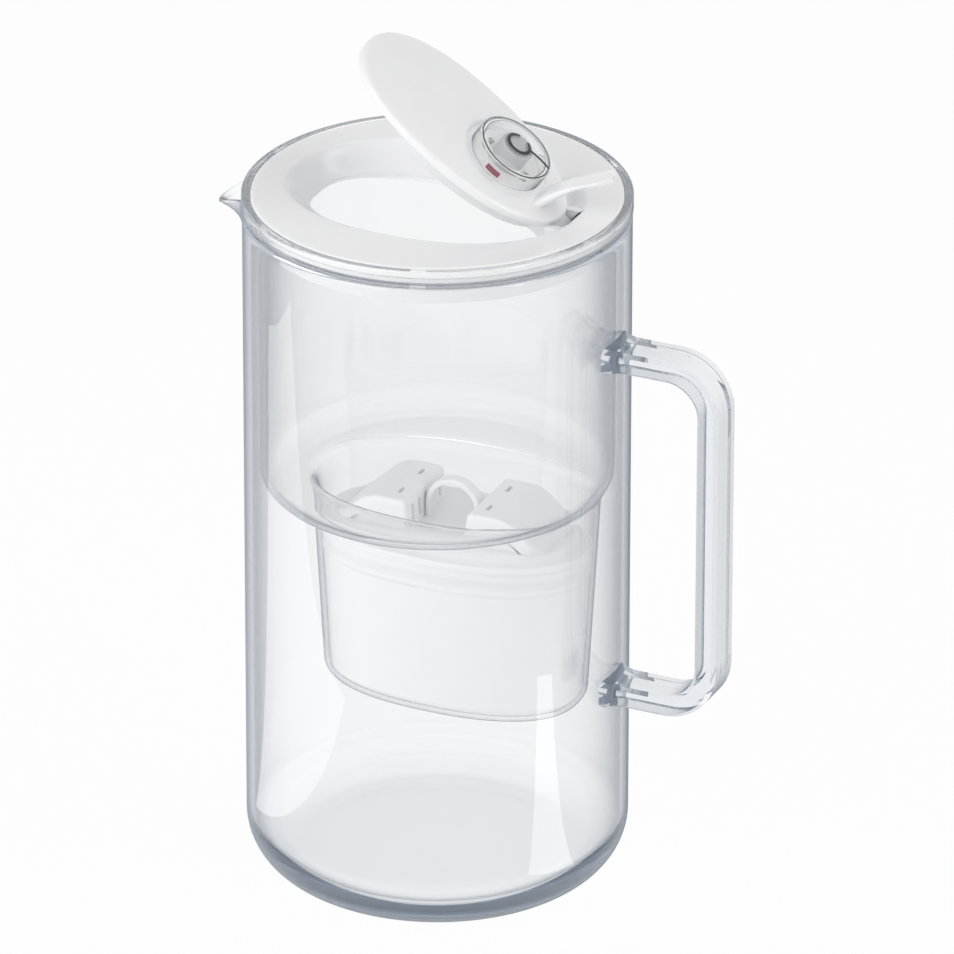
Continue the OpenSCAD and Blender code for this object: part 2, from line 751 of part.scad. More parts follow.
module dial_knob() {
    color(clear) at_dial() difference() {
        intersection() {
            translate([0, 0, dial_floor + 0.3]) cylinder(h = 12, r = dial_r);
            translate([0, 0, dome_z]) sphere(dome_r, $fn = 180);
        }
        intersection() {
            translate([0, 0, dial_floor - 1]) cylinder(h = 13, r = dial_r - knob_t);
            translate([0, 0, dome_z]) sphere(dome_r - knob_t, $fn = 180);
        }
    }
}

module pointer_ring() {
    ring_r = 4.1;
    line = 1;
    color("black") at_dial() intersection() {
        translate([0, 0, dome_z]) difference() {
            sphere(dome_r + 0.2, $fn = 180);
            sphere(dome_r, $fn = 180);
        }
        translate([0, 0, knob_top - 1]) rotate([0, 0, pointer_turn]) {
            for (start = [-68, 92]) rotate([0, 0, start]) rotate_extrude(angle = 136)
                translate([ring_r - line, 0]) square([line, 6]);
            translate([ring_r - line / 2, -0.4, 0]) cube([dial_r - ring_r, 0.8, 6]);
        }
    }
}

module dial_clip() {
    under = flap_top - flap_t + liner_t + 0.2;
    color(grey) at_dial() translate([0, 0, under - 1.3]) difference() {
        cylinder(h = 0.8, r = axle_r + 1.8);
        translate([0, 0, -1]) cylinder(h = 3, r = axle_r);
        translate([0, -0.8, -1]) cube([axle_r + 3, 1.6, 3]);
    }
}

glass_jug();
glass_handle();
funnel_hopper();
cartridge_pocket();
rim_seal();
cartridge_shell();
cartridge_seal();
cartridge_cap();
cartridge_loop();
cartridge_media();
upper_screen();
lower_screen();
lid();
hinge_cover();
hinge_pin();
flap_cover();
flap_base();
flap_seal();
scale_disc();
index_mark();
dial_hub();
dial_knob();
pointer_ring();
dial_clip();
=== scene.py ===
# %% [markdown]
# Water filter pitcher with flip lid. A tall glass jug carries a clear funnel, and an oval
# filter cartridge sits in the funnel's pocket. A white lid closes it, with a flap over the
# filling hole and a dial on the flap. The real lengths come first, because every piece
# below is worked out from them. They are the same lengths that the frame was built with, in
# millimetres, and MM turns them to the metres that Blender works in.

# %% Load the frame and name the real lengths
import math
import bpy
import numpy as np
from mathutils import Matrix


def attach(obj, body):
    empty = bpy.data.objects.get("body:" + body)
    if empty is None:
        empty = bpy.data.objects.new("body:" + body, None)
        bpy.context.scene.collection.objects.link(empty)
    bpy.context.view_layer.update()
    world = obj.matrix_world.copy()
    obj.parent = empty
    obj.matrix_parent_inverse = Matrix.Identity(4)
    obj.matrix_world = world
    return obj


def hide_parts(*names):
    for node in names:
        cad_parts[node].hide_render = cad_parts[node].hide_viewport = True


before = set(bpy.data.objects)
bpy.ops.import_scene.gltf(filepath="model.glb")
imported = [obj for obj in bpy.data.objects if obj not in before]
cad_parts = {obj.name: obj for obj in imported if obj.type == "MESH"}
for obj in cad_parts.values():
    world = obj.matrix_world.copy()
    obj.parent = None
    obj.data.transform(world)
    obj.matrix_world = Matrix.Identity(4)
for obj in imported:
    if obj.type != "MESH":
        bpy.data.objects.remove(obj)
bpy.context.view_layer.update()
MM = 0.001

JUG_R, JUG_H, GLASS_T = 68.0, 253.0, 2.8
GLASS_IN = JUG_R - GLASS_T
BASE_T, BASE_R, BASE_R_IN = 7.0, 21.0, 16.2
SPOUT_REACH, SPOUT_DIP, SPOUT_H, SPOUT_HALF = 15.3, 9.7, 25.0, 25.0
TOP_Z = 259.6
HINGE_X, HINGE_Z, FLAP_OPEN = 49.5, TOP_Z - 9, 36.3
FLAP_A, FLAP_B, FLAP_T, FLAP_X = 45.5, 28.0, 3.4, -2.3
FLAP_TOP, FLAP_CROWN = TOP_Z - 3, 3.0
FLAP_POWERS, POCKET_POWER = (2.3, 2.0), 2.3
DIAL_X, DIAL_R = FLAP_X + 17.7, 14.35
POCKET_A, POCKET_B, POCKET_X, POCKET_TAPER = 52.6, 32.2, 6.9, 4.2
POCKET_Z, FLOOR_Z, SEAL_Z = 69.5, 147.5, 130.4

# %% [markdown]
# Nearly every piece of the pitcher is a surface that follows rings: a lathe profile turned
# about the jug's axis, or a stack of ovals. So one pair of helpers makes them all. The first
# rounds the corners of a drawn profile, as a tool's cutter would. The second joins a grid of
# points into faces. Modelling by hand would do for one piece, but the rings keep the walls,
# gaps and seats of all the pieces true to each other.

# %% Profiles and grids
AROUND = 256
TURN = 2 * np.pi * (np.arange(AROUND) + 0.5) / AROUND


def rounded(corners, steps=8, closed=False):
    """Polyline with its corners rounded. Each corner is (x, z, radius): the arc starts and ends at
    radius / tan(half the corner's angle) from it, and its points turn evenly from one leg to the other."""
    points = []
    count = len(corners)
    for k, (x, z, radius) in enumerate(corners):
        here = np.array([x, z], float)
        if radius == 0 or (not closed and k in (0, count - 1)):
            points.append(here)
            continue
        back = np.array(corners[k - 1][:2], float) - here
        ahead = np.array(corners[(k + 1) % count][:2], float) - here
        back, ahead = back / np.linalg.norm(back), ahead / np.linalg.norm(ahead)
        half = math.acos(np.clip(back @ ahead, -1, 1)) / 2
        middle = here + (back + ahead) / np.linalg.norm(back + ahead) * radius / math.sin(half)
        first = here + back * radius / math.tan(half) - middle
        last = here + ahead * radius / math.tan(half) - middle
        sweep = math.pi - 2 * half
        share = np.linspace(0, 1, steps + 1)[:, None]
        bend = np.sin((1 - share) * sweep) * first + np.sin(share * sweep) * last
        points.extend(middle + bend / math.sin(sweep))
    return np.array(points)


def finer(path, spacing, closed=False):
    """The same line with more points: each stretch is cut into equal steps of at most the spacing."""
    ends = np.vstack([path, path[:1]]) if closed else path
    parts = []
    for start, end in zip(ends[:-1], ends[1:]):
        steps = max(1, math.ceil(np.linalg.norm(end - start) / spacing))
        parts.append(start + (end - start) * np.linspace(0, 1, steps, endpoint=False)[:, None])
    return np.vstack(parts if closed else parts + [ends[-1:]])


def lathe(path, turn=TURN):
    """Rings round Z: point k of the path is a circle of radius x at height z."""
    flat = np.stack([np.cos(turn), np.sin(turn)], axis=1)
    rings = np.empty((len(path), len(turn), 3))
    rings[:, :, :2] = path[:, 0, None, None] * flat
    rings[:, :, 2] = path[:, 1, None]
    return rings


def grid_faces(rows, cols, loop_rows):
    """Quads of a grid whose columns run round, so the last column joins the first. With loop_rows
    the last row joins the first as well. Each quad lists its corners counter-clockwise from outside."""
    low, left = np.meshgrid(np.arange(rows if loop_rows else rows - 1), np.arange(cols), indexing="ij")
    high, right = (low + 1) % rows, (left + 1) % cols
    corners = [low * cols + left, low * cols + right, high * cols + right, high * cols + left]
    return np.stack(corners, axis=-1).reshape(-1, 4)


def fan(first, cols, centre, flip):
    """Triangles that join a ring to one point, each from a point of the ring to the one before it."""
    step = np.arange(cols)
    triangles = np.stack([first + (step + 1) % cols, first + step, np.full(cols, centre)], axis=1)
    return triangles[:, ::-1] if flip else triangles


def outward(points, blocks):
    """The blocks of faces, turned round if they face inwards. The volume they enclose is the sum of
    a . (b x c) / 6 over their triangles, which is positive where they face outwards."""
    volume = 0.0
    for block in blocks:
        for k in range(1, block.shape[1] - 1):
            a, b, c = points[block[:, 0]], points[block[:, k]], points[block[:, k + 1]]
            volume += np.einsum("ij,ij->i", a, np.cross(b, c)).sum() / 6
    return blocks if volume > 0 else [block[:, ::-1] for block in blocks]


def surface(rings, close="poles"):
    """Points and faces of a stack of rings. close is "loop" where the last ring meets the first, or
    "poles" where a point in the middle of the first and last ring closes each end."""
    rings = np.asarray(rings, float)
    rows, cols = rings.shape[:2]
    points = rings.reshape(-1, 3)
    blocks = [grid_faces(rows, cols, close == "loop")]
    if close == "poles":
        points = np.vstack([points, rings[0].mean(axis=0), rings[-1].mean(axis=0)])
        blocks.append(fan(0, cols, rows * cols, False))
        blocks.append(fan((rows - 1) * cols, cols, rows * cols + 1, True))
    return points, [face for block in outward(points, blocks) for face in block.tolist()]


def joined(*parts):
    """Several (points, faces) pairs as one, each later part's faces counted on from the one before."""
    points, faces, start = [], [], 0
    for part_points, part_faces in parts:
        points.append(np.asarray(part_points))
        faces += [[v + start for v in face] for face in part_faces]
        start += len(part_points)
    return np.vstack(points), faces


def as_object(name, shape):
    """A bare Blender object of a shape in millimetres."""
    mesh = bpy.data.meshes.new(name)
    mesh.from_pydata((np.asarray(shape[0]) * MM).tolist(), [], shape[1])
    made = bpy.data.objects.new(name, mesh)
    bpy.context.scene.collection.objects.link(made)
    return made


def combined(base, other, operation):
    """One closed shape added to another (UNION) or taken from it (DIFFERENCE), as a new shape."""
    body, tool = as_object("body", base), as_object("tool", other)
    cut = body.modifiers.new("cut", "BOOLEAN")
    cut.operation, cut.object, cut.solver = operation, tool, "EXACT"
    bpy.context.view_layer.update()
    mesh = body.evaluated_get(bpy.context.evaluated_depsgraph_get()).to_mesh()
    places = np.empty(len(mesh.vertices) * 3)
    mesh.vertices.foreach_get("co", places)
    faces = [list(polygon.vertices) for polygon in mesh.polygons]
    for made in (body, tool):
        data = made.data
        bpy.data.objects.remove(made)
        bpy.data.meshes.remove(data)
    return places.reshape(-1, 3) / MM, faces


def piece(name, shape, material, body, replaces=(), sharp=40):
    """A finished piece: points in millimetres, faces, material, the body it rides on, and the CAD nodes it
    stands for. Edges sharper than the given angle stay crisp."""
    made = as_object(name, shape)
    made.data.polygons.foreach_set("use_smooth", np.ones(len(made.data.polygons), bool))
    made.data.set_sharp_from_angle(angle=math.radians(sharp))
    made.data.materials.append(material)
    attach(made, body)
    if replaces:
        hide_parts(*replaces)
    low, high = np.round(shape[0].min(axis=0), 1), np.round(shape[0].max(axis=0), 1)
    print(f"{name}: {len(made.data.polygons)} faces, {low} to {high} mm")
    return made


def oval(a, b, centre_x, n_spout, n_handle, turn=TURN):
    """Superellipse |x/a|^n + |y/b|^n = 1, with one power n towards the spout and another towards the
    handle. Its point at angle t is (a sign(cos t)|cos t|^(2/n), b sign(sin t)|sin t|^(2/n))."""
    power = 2 / np.where(np.cos(turn) < 0, n_spout, n_handle)
    x = a * np.sign(np.cos(turn)) * np.abs(np.cos(turn)) ** power
    y = b * np.sign(np.sin(turn)) * np.abs(np.sin(turn)) ** power
    return np.stack([centre_x + x, y], axis=1)


def at_height(outline, z):
    """A flat outline lifted to a height, which may differ from point to point."""
    return np.column_stack([outline, np.broadcast_to(z, len(outline))])


def wave(f):
    """A share from 0 to 1 that starts and ends level: (1 - cos(pi f)) / 2."""
    return (1 - np.cos(np.pi * np.asarray(f, float))) / 2


def filled(ring, shares=(0.02, 0.3, 0.6, 0.85)):
    """The ring drawn in towards its middle by each share, as rows that lead out to it."""
    middle = ring.mean(axis=0)
    return [middle + (ring - middle) * share for share in shares]


def opened(shape):
    """A shape of the closed flap, turned about the hinge pin to where the flap stands open."""
    cos, sin = math.cos(math.radians(FLAP_OPEN)), math.sin(math.radians(FLAP_OPEN))
    x, y, z = (shape[0] - (HINGE_X, 0, HINGE_Z)).T
    turned = np.stack([x * cos + z * sin, y, z * cos - x * sin], axis=1)
    return turned + (HINGE_X, 0, HINGE_Z), shape[1]


def arc(x, z, radius, angles):
    """Points of an arc in the XZ plane: (x + radius cos a, z + radius sin a) for each angle a."""
    return np.stack([x + radius * np.cos(angles), z + radius * np.sin(angles)], axis=1)


def block(low, high):
    """A plain box between two corners, for cutting slots."""
    ring = np.array([(low[0], low[1]), (high[0], low[1]), (high[0], high[1]), (low[0], high[1])], float)
    return surface([at_height(ring, low[2]), at_height(ring, high[2])])


def bar(path, section, scale=None):
    """A bar along a path in the XZ plane. Point (u, w) of the section lies u to the side of the path,
    square to it in its plane, and w along Y, both times the scale at that point of the path."""
    scale = np.ones(len(path)) if scale is None else scale
    along = np.gradient(path, axis=0)
    along /= np.linalg.norm(along, axis=1)[:, None]
    side = np.stack([along[:, 1], -along[:, 0]], axis=1)
    rings = np.empty((len(path), len(section), 3))
    rings[:, :, 0] = path[:, :1] + side[:, :1] * section[:, 0] * scale[:, None]
    rings[:, :, 1] = section[:, 1] * scale[:, None]
    rings[:, :, 2] = path[:, 1:] + side[:, 1:] * section[:, 0] * scale[:, None]
    return surface(rings)


def slab(outline, low_y, high_y, edge=0.4, steps=4, limit=None):
    """An outline in the XZ plane, given thickness along Y, with its edges rounded: near each face the
    outline is drawn in by edge (1 - sin a) where it stands edge (1 - cos a) off the face. limit is a
    function that cuts the outline back at each Y, and then rows between the faces follow it."""
    ahead = np.roll(outline, -1, axis=0) - outline
    normal = np.stack([ahead[:, 1], -ahead[:, 0]], axis=1)
    normal /= np.linalg.norm(normal, axis=1)[:, None]
    normal = normal + np.roll(normal, 1, axis=0)
    normal /= np.linalg.norm(normal, axis=1)[:, None]
    ahead_x, ahead_z = np.roll(outline, -1, axis=0).T
    area = np.sum(outline[:, 0] * ahead_z - ahead_x * outline[:, 1])
    normal *= np.sign(area)
    turns = np.linspace(0, np.pi / 2, steps + 1)
    ends = [(edge * (1 - np.sin(t)), edge * (1 - np.cos(t))) for t in turns]
    middle = [(0.0, y) for y in np.linspace(low_y + edge, high_y - edge, 24)[1:-1]] if limit else []
    rows = [(inset, low_y + y) for inset, y in ends] + middle
    rows += [(inset, high_y - y) for inset, y in ends[::-1]]
    rings = []
    for inset, y in rows:
        ring = outline - normal * inset
        if limit:
            ring = limit(ring, y)
        rings.append(np.column_stack([ring[:, 0], np.full(len(ring), y), ring[:, 1]]))
    return surface(rings)


# %% [markdown]
# Finishes. Colours are written as sRGB hex, as a colour chart gives them, and turned to the
# linear values that light adds up in. One helper adds a shader node with its settings and
# its links, so each material below reads as a short recipe. Patterns read Object coordinates,
# which stay with a piece when its body moves, and their scales come from sizes in millimetres.

# %% Material helpers
def colour(hex_code):
    """sRGB hex to linear: c / 12.92 below 0.04045, else ((c + 0.055) / 1.055) ^ 2.4."""
    srgb = np.array([int(hex_code[k:k + 2], 16) / 255 for k in (1, 3, 5)])
    linear = np.where(srgb <= 0.04045, srgb / 12.92, ((srgb + 0.055) / 1.055) ** 2.4)
    return (*linear.tolist(), 1.0)


def add(tree, kind, settings=None, inputs=None):
    """A new node. settings are its own properties; inputs are socket names or numbers with a value
    or with another node's output, which is linked."""
    made = tree.nodes.new(kind)
    for key, value in (settings or {}).items():
        setattr(made, key, value)
    for key, value in (inputs or {}).items():
        if isinstance(value, bpy.types.NodeSocket):
            tree.links.new(value, made.inputs[key])
        else:
            made.inputs[key].default_value = value
    return made


def material(name):
    """An empty node material and its tree."""
    made = bpy.data.materials.new(name)
    made.use_nodes = True
    made.node_tree.nodes.clear()
    return made, made.node_tree


def mottling(tree, size_mm, detail=2.0, stretch=(1, 1, 1)):
    """A cloudy pattern that stays with the piece, in blotches of about the given size."""
    place = add(tree, "ShaderNodeTexCoord")
    scaled = add(tree, "ShaderNodeMapping", inputs={"Vector": place.outputs["Object"], "Scale": stretch})
    return add(tree, "ShaderNodeTexNoise", inputs={
        "Vector": scaled.outputs["Vector"], "Scale": 1 / (size_mm * MM), "Detail": detail, "Roughness": 0.5})


def towards_edge(tree, facing, power, scale):
    """A share that grows where a face is seen along itself: scale times facing^power, at most 1."""
    steep = add(tree, "ShaderNodeMath", {"operation": "POWER"}, {0: facing, 1: power})
    share = add(tree, "ShaderNodeMath", {"operation": "MULTIPLY", "use_clamp": True}, {
        0: steep.outputs["Value"], 1: scale})
    return share.outputs["Value"]


def any_of(tree, *shares):
    """The greatest of several shares, for rays that may be of one kind or another."""
    top = shares[0]
    for share in shares[1:]:
        greater = add(tree, "ShaderNodeMath", {"operation": "MAXIMUM"}, {0: top, 1: share})
        top = greater.outputs["Value"]
    return top


# The outline grey is a painted shade that the clear finishes take right at their outlines.
PAINTED_OUTLINE_SHADE, LAST_BOUNCE = "#959ba4", 13.5


def see_through(name, tint, edge, ior, rough, wave_mm, wave_depth, absorb, density):
    """A clear solid. Its outside refracts, with slow upright waves in its face, and its inside takes a
    little light away for every millimetre. Where it is seen along its face it takes a painted edge
    shade, the edge colour, by 1.2 f^3 with f = 1 - |n . v|, and right at its outline a painted grey
    shade, by 2.5 f^6.6. Both stand in for the darker surroundings that real glass shows at its edges.
    Light that only passes through on its way to something else goes straight, so that what is inside the
    pitcher is lit. So does light that has bounced more than 13 times, or more of it would end black."""
    made, tree = material(name)
    waves = mottling(tree, wave_mm, 1.0, (1, 1, 0.35))
    uneven = add(tree, "ShaderNodeBump", inputs={
        "Height": waves.outputs["Fac"], "Distance": wave_depth * MM})
    facing = add(tree, "ShaderNodeLayerWeight", inputs={"Blend": 0.5})
    painted_edge_share = towards_edge(tree, facing.outputs["Facing"], 3.0, 1.2)
    outline = towards_edge(tree, facing.outputs["Facing"], 6.6, 2.5)
    # Painted edge shade: the tint turns to the edge colour where a face is seen along itself.
    tint_with_painted_edge = add(tree, "ShaderNodeMix", {"data_type": "RGBA"}, {
        0: painted_edge_share, 6: colour(tint), 7: colour(edge)})
    glass = add(tree, "ShaderNodeBsdfPrincipled", inputs={
        "Base Color": tint_with_painted_edge.outputs[2], "Roughness": rough, "IOR": ior, "Transmission Weight": 1.0,
        "Normal": uneven.outputs["Normal"]})
    # Painted shade: a grey matt layer that covers the very outline.
    grey = add(tree, "ShaderNodeBsdfDiffuse", inputs={"Color": colour(PAINTED_OUTLINE_SHADE)})
    with_painted_outline = add(tree, "ShaderNodeMixShader", inputs={
        0: outline, 1: glass.outputs["BSDF"], 2: grey.outputs["BSDF"]})
    straight = add(tree, "ShaderNodeBsdfTransparent", inputs={"Color": (1, 1, 1, 1)})
    path = add(tree, "ShaderNodeLightPath")
    spent = add(tree, "ShaderNodeMath", {"operation": "GREATER_THAN"}, {
        0: path.outputs["Ray Depth"], 1: LAST_BOUNCE})
    passing = any_of(tree, path.outputs["Is Shadow Ray"], path.outputs["Is Diffuse Ray"],
                     spent.outputs["Value"])
    mixed = add(tree, "ShaderNodeMixShader", inputs={
        0: passing, 1: with_painted_outline.outputs["Shader"], 2: straight.outputs["BSDF"]})
    inside = add(tree, "ShaderNodeVolumeAbsorption", inputs={"Color": colour(absorb), "Density": density})
    add(tree, "ShaderNodeOutputMaterial", inputs={
        "Surface": mixed.outputs["Shader"], "Volume": inside.outputs["Volume"]})
    return made


def moulded(name, tint, rough, grain_mm, grain_depth, soft=0.0, coat=0.0):
    """A moulded plastic: one colour with a faint cloudiness 9 mm across, a roughness that varies by
    15 per cent with it, a fine grain in its face from the mould, and a share of light that goes a
    little way in."""
    made, tree = material(name)
    clouds = mottling(tree, 9.0, 3.0)
    grain = mottling(tree, grain_mm, 2.0)
    dark = tuple(channel * 0.965 for channel in colour(tint)[:3]) + (1.0,)
    mixed = add(tree, "ShaderNodeMix", {"data_type": "RGBA"}, {
        0: clouds.outputs["Fac"], 6: dark, 7: colour(tint)})
    gloss = add(tree, "ShaderNodeMapRange", inputs={
        "Value": clouds.outputs["Fac"], "To Min": rough * 0.85, "To Max": rough * 1.15})
    grained = add(tree, "ShaderNodeBump", inputs={
        "Height": grain.outputs["Fac"], "Distance": grain_depth * MM})
    shader = add(tree, "ShaderNodeBsdfPrincipled", inputs={
        "Base Color": mixed.outputs[2], "Roughness": gloss.outputs["Result"], "IOR": 1.5,
        "Subsurface Weight": soft, "Subsurface Radius": (1.0, 0.95, 0.9), "Subsurface Scale": 2 * MM,
        "Coat Weight": coat, "Coat Roughness": 0.08, "Normal": grained.outputs["Normal"]})
    add(tree, "ShaderNodeOutputMaterial", inputs={"Surface": shader.outputs["BSDF"]})
    return made


# %% [markdown]
# The clear finishes. Blown glass is clear and smooth, with slow waves from the blowing, and its
# edges are given a painted cool dark shade. Moulded clear plastic is a little less smooth and its
# edges are given a painted neutral grey shade. Polished acrylic is as clear as glass, and silicone
# is milky and dull. The refraction of each is the usual one of its material.

# %% Clear finishes
# Each edge colour below is a painted shade for the outlines, not a colour of the material itself.
jug_glass = see_through("blown_borosilicate_glass", tint="#fefefe", edge="#6b7582", ior=1.48,
                        rough=0.0, wave_mm=30, wave_depth=0.03, absorb="#89a5bc", density=14.0)
clear_plastic = see_through("injection_moulded_clear_SAN", tint="#fdfdfd", edge="#8f959c", ior=1.52,
                            rough=0.015, wave_mm=18, wave_depth=0.01, absorb="#98a0a8", density=4.0)
knob_plastic = see_through("polished_clear_PMMA", tint="#fcfcfc", edge="#a4a8ac", ior=1.49,
                           rough=0.0, wave_mm=12, wave_depth=0.005, absorb="#a0a6ac", density=6.0)
clear_silicone = see_through("moulded_clear_silicone", tint="#e9ecee", edge="#b4b9be", ior=1.42,
                             rough=0.22, wave_mm=6, wave_depth=0.01, absorb="#8f979e", density=60.0)
clear_finishes = (jug_glass, clear_plastic, knob_plastic, clear_silicone)
print("clear finishes:", [finish.name for finish in clear_finishes])

# %% [markdown]
# The opaque finishes. The lid and flap are ABS from a polished mould, so lamps show on them as
# soft spots with a clear edge. The housing comes from a satin mould, which spreads them. The
# cartridge is polypropylene: light goes a little way in, so its edges look soft. Its seal is
# a dull white rubber. The hub's mould is spark-eroded, which leaves a grain that can be felt.
# The black and red marks are pad prints, thin and slightly glossy, and the disc behind them is
# matt white. The real grain of the smooth moulds is finer than 0.3 mm and would not show, so it
# is drawn 0.3 to 0.6 mm wide.

# %% Opaque finishes
gloss_white = moulded("polished_white_ABS", "#f4f4f5", rough=0.22, grain_mm=0.6, grain_depth=0.002,
                      soft=0.05, coat=0.15)
satin_white = moulded("satin_white_ABS", "#e9eaec", rough=0.42, grain_mm=0.35, grain_depth=0.01, soft=0.05)
cartridge_white = moulded("moulded_white_polypropylene", "#f2f2f3", rough=0.38, grain_mm=0.5,
                          grain_depth=0.006, soft=0.2)
seal_white = moulded("white_thermoplastic_rubber", "#f6f6f7", rough=0.5, grain_mm=0.4,
                     grain_depth=0.006, soft=0.2)
hub_grey = moulded("spark_eroded_grey_ABS", "#c3c4c7", rough=0.5, grain_mm=0.5, grain_depth=0.3)
print_black = moulded("black_pad_print", "#17181a", rough=0.35, grain_mm=0.4, grain_depth=0.003)
print_red = moulded("red_pad_print", "#8c3348", rough=0.4, grain_mm=0.4, grain_depth=0.003)
disc_white = moulded("white_printed_disc", "#f1f1f1", rough=0.45, grain_mm=0.3, grain_depth=0.004)
print("finishes so far:", len(bpy.data.materials))

# %% [markdown]
# The jug. A real one is a blown tube of borosilicate glass with a rounded foot, a fire-polished
# rim and a spout that is pulled out of the hot wall. The lathe profile runs out under the base,
# up the outside, over the rim and down the inside, so the wall has two faces as glass must have
# to bend light. Then the points near the rim are pulled outwards and down to make the spout.
# The base is hollowed a little underneath, so that the jug stands on a ring and doesn't rock.

# %% Jug
RIM = GLASS_T / 2
WALL_TOP = JUG_H - RIM
HOLLOW_DEPTH, HOLLOW_R = 0.6, 46.0


def pull_spout(points):
    """Pulls the wall out to a lip. climb is the share of the way up the spout, and bell is 1 in the
    spout's middle and falls to 0 at its sides as ((1 + cos) / 2)^1.4. The radius grows by reach
    times bell times climb^2.3, and the height falls by dip times bell times climb^2."""
    x, y, z = points.T
    radius, turn = np.hypot(x, y), np.degrees(np.arctan2(-y, -x))
    climb = np.clip((np.minimum(z, WALL_TOP) - WALL_TOP + SPOUT_H) / SPOUT_H, 0, 1)
    bell = ((1 + np.cos(np.pi * np.minimum(1, np.abs(turn) / SPOUT_HALF))) / 2) ** 1.4
    grown = 1 + SPOUT_REACH * bell * climb ** 2.3 / np.maximum(radius, 1)
    return np.stack([x * grown, y * grown, z - SPOUT_DIP * bell * climb ** 2], axis=1)


radii = np.linspace(1, HOLLOW_R, 20)
hollow = np.stack([radii, HOLLOW_DEPTH * (1 - (radii / HOLLOW_R) ** 2) ** 2], axis=1)
foot_and_wall = rounded([(HOLLOW_R + 0.5, 0, 0), (JUG_R, 0, BASE_R), (JUG_R, WALL_TOP, 0)], 20)
outside = np.vstack([hollow, foot_and_wall])
rim = arc(JUG_R - RIM, WALL_TOP, RIM, np.radians(np.linspace(0, 180, 13))[1:-1])
inside = rounded([(GLASS_IN, WALL_TOP, 0), (GLASS_IN, BASE_T, BASE_R_IN), (1, BASE_T, 0)], 20)
jug_rings = lathe(finer(np.vstack([outside, rim, inside]), 2.5))
jug_points, jug_faces = surface(jug_rings)
jug = (pull_spout(jug_points), jug_faces)
print("jug:", jug_rings.shape[0], "rings of", AROUND, "points")

# %% [markdown]
# The handle is a solid glass bar, bent hot into a C and fused to the wall, where it spreads a
# little. It is one section, a bar with cut corners, carried along one path. The bar is then
# united with the jug, because two glass bodies that only overlap would show a false face inside
# the joint. Its corners stay crisp, because their sharp lines are what the eye sees of a glass bar.

# %% Handle
HANDLE_OUT, HANDLE_TOP, HANDLE_LOW, HANDLE_R = JUG_R + 42.5, 215.0, 78.0, 20.0
BAR_T, BAR_W, BAR_EDGE = 8.0, 16.5, 1.3
FOOT_L, FOOT_GROW = 6.0, 0.24

half_t, half_w = BAR_T / 2, BAR_W / 2
flat_t, flat_w = half_t - BAR_EDGE, half_w - BAR_EDGE
bar_section = finer(np.array([(half_t, flat_w), (flat_t, half_w), (-flat_t, half_w), (-half_t, flat_w),
                              (-half_t, -flat_w), (-flat_t, -half_w), (flat_t, -half_w), (half_t, -flat_w)]),
                    1.4, closed=True)
grip_x, top_z, low_z = HANDLE_OUT - half_t, HANDLE_TOP - half_t, HANDLE_LOW + half_t
root_x, bend_r = JUG_R - GLASS_T / 2, HANDLE_R - half_t
handle_path = finer(rounded([(root_x, top_z, 0), (grip_x, top_z, bend_r), (grip_x, low_z, bend_r),
                             (root_x, low_z, 0)], 14), 2.0)
to_wall = np.clip((handle_path[:, 0] - JUG_R) / FOOT_L, 0, 1)
handle = bar(handle_path, bar_section, 1 + FOOT_GROW * (1 - to_wall) ** 2)
body_of_glass = combined(jug, handle, "UNION")
piece("glass_body", body_of_glass, jug_glass, "jug", ("glass_jug", "glass_handle"), 30)

# %% [markdown]
# The funnel is one clear moulding: a round hopper whose floor opens into an oval pocket for the
# cartridge, and a collar on top that stands on the glass. Each column of the surface runs up the
# pocket's wall, over the hopper's floor to its round wall, up to the collar, and back down the
# inside. The floor bends up into the wall along a quarter circle, and at the handle's side the
# pocket meets that bend, so the floor's height is worked out from the distance to the wall.
# The water leaves through seven slots in the pocket's bottom, cut from the finished moulding.

# %% Rows of the funnel
FUNNEL_R, FUNNEL_T, FLOOR_BEND = 62.4, 1.8, 11.0
FLANGE_Z, SEAT_Z, COLLAR_R, COLLAR_IN = JUG_H + 1.2, JUG_H + 3.2, JUG_R + 0.3, JUG_R - 2.8
POCKET_BEND, MOUTH_BEND = 7.0, 4.2


def pocket_ring(z, inset):
    """The pocket's oval outline at a height, drawn in by an inset and by its taper below the floor."""
    drawn = inset + POCKET_TAPER * (1 - (z - POCKET_Z) / (FLOOR_Z - POCKET_Z))
    return at_height(oval(POCKET_A - drawn, POCKET_B - drawn, POCKET_X, POCKET_POWER, POCKET_POWER), z)


def pocket_foot(z, inset, bend, steps=10):
    """Rows of a rounded foot: the outline lies bend (1 - sin a) further in where it stands
    bend (1 - cos a) above the bottom."""
    turns = np.linspace(0, np.pi / 2, steps + 1)
    return [pocket_ring(z + bend * (1 - np.cos(a)), inset + bend * (1 - np.sin(a))) for a in turns]


def hopper_floor(mouth, wall_r, bend, floor_z, lip):
    """Rows from a rounded edge at the pocket's mouth to the foot of the round wall. At a distance s
    from the wall the floor lies bend - sqrt(bend^2 - (bend - s)^2) above its level, for s under
    bend. The mouth's edge is rounded by lip, or less where the wall is near."""
    radius, turn = np.hypot(mouth[:, 0], mouth[:, 1]), np.arctan2(mouth[:, 1], mouth[:, 0])
    gap = wall_r - radius
    lip = np.minimum(lip, 0.6 * gap)

    def row(distance, drop=0.0):
        rise = bend - np.sqrt(np.maximum(bend ** 2 - np.clip(bend - distance, 0, bend) ** 2, 0))
        out = wall_r - distance
        return np.stack([out * np.cos(turn), out * np.sin(turn), floor_z + rise - drop], axis=1)

    quarter = np.linspace(0, np.pi / 2, 6)
    rows = [row(gap - lip * (1 - np.cos(a)), lip * (1 - np.sin(a))) for a in quarter]
    start = np.minimum(0.97 * (gap - lip), bend)
    rows += [row((gap - lip) * (1 - share) + start * share) for share in (0.2, 0.4, 0.6, 0.8)]
    first = np.arcsin(1 - start / bend)
    for share in np.linspace(0, 1, 15):
        rows.append(row(bend * (1 - np.sin(first + (np.pi / 2 - first) * share))))
    return rows, turn


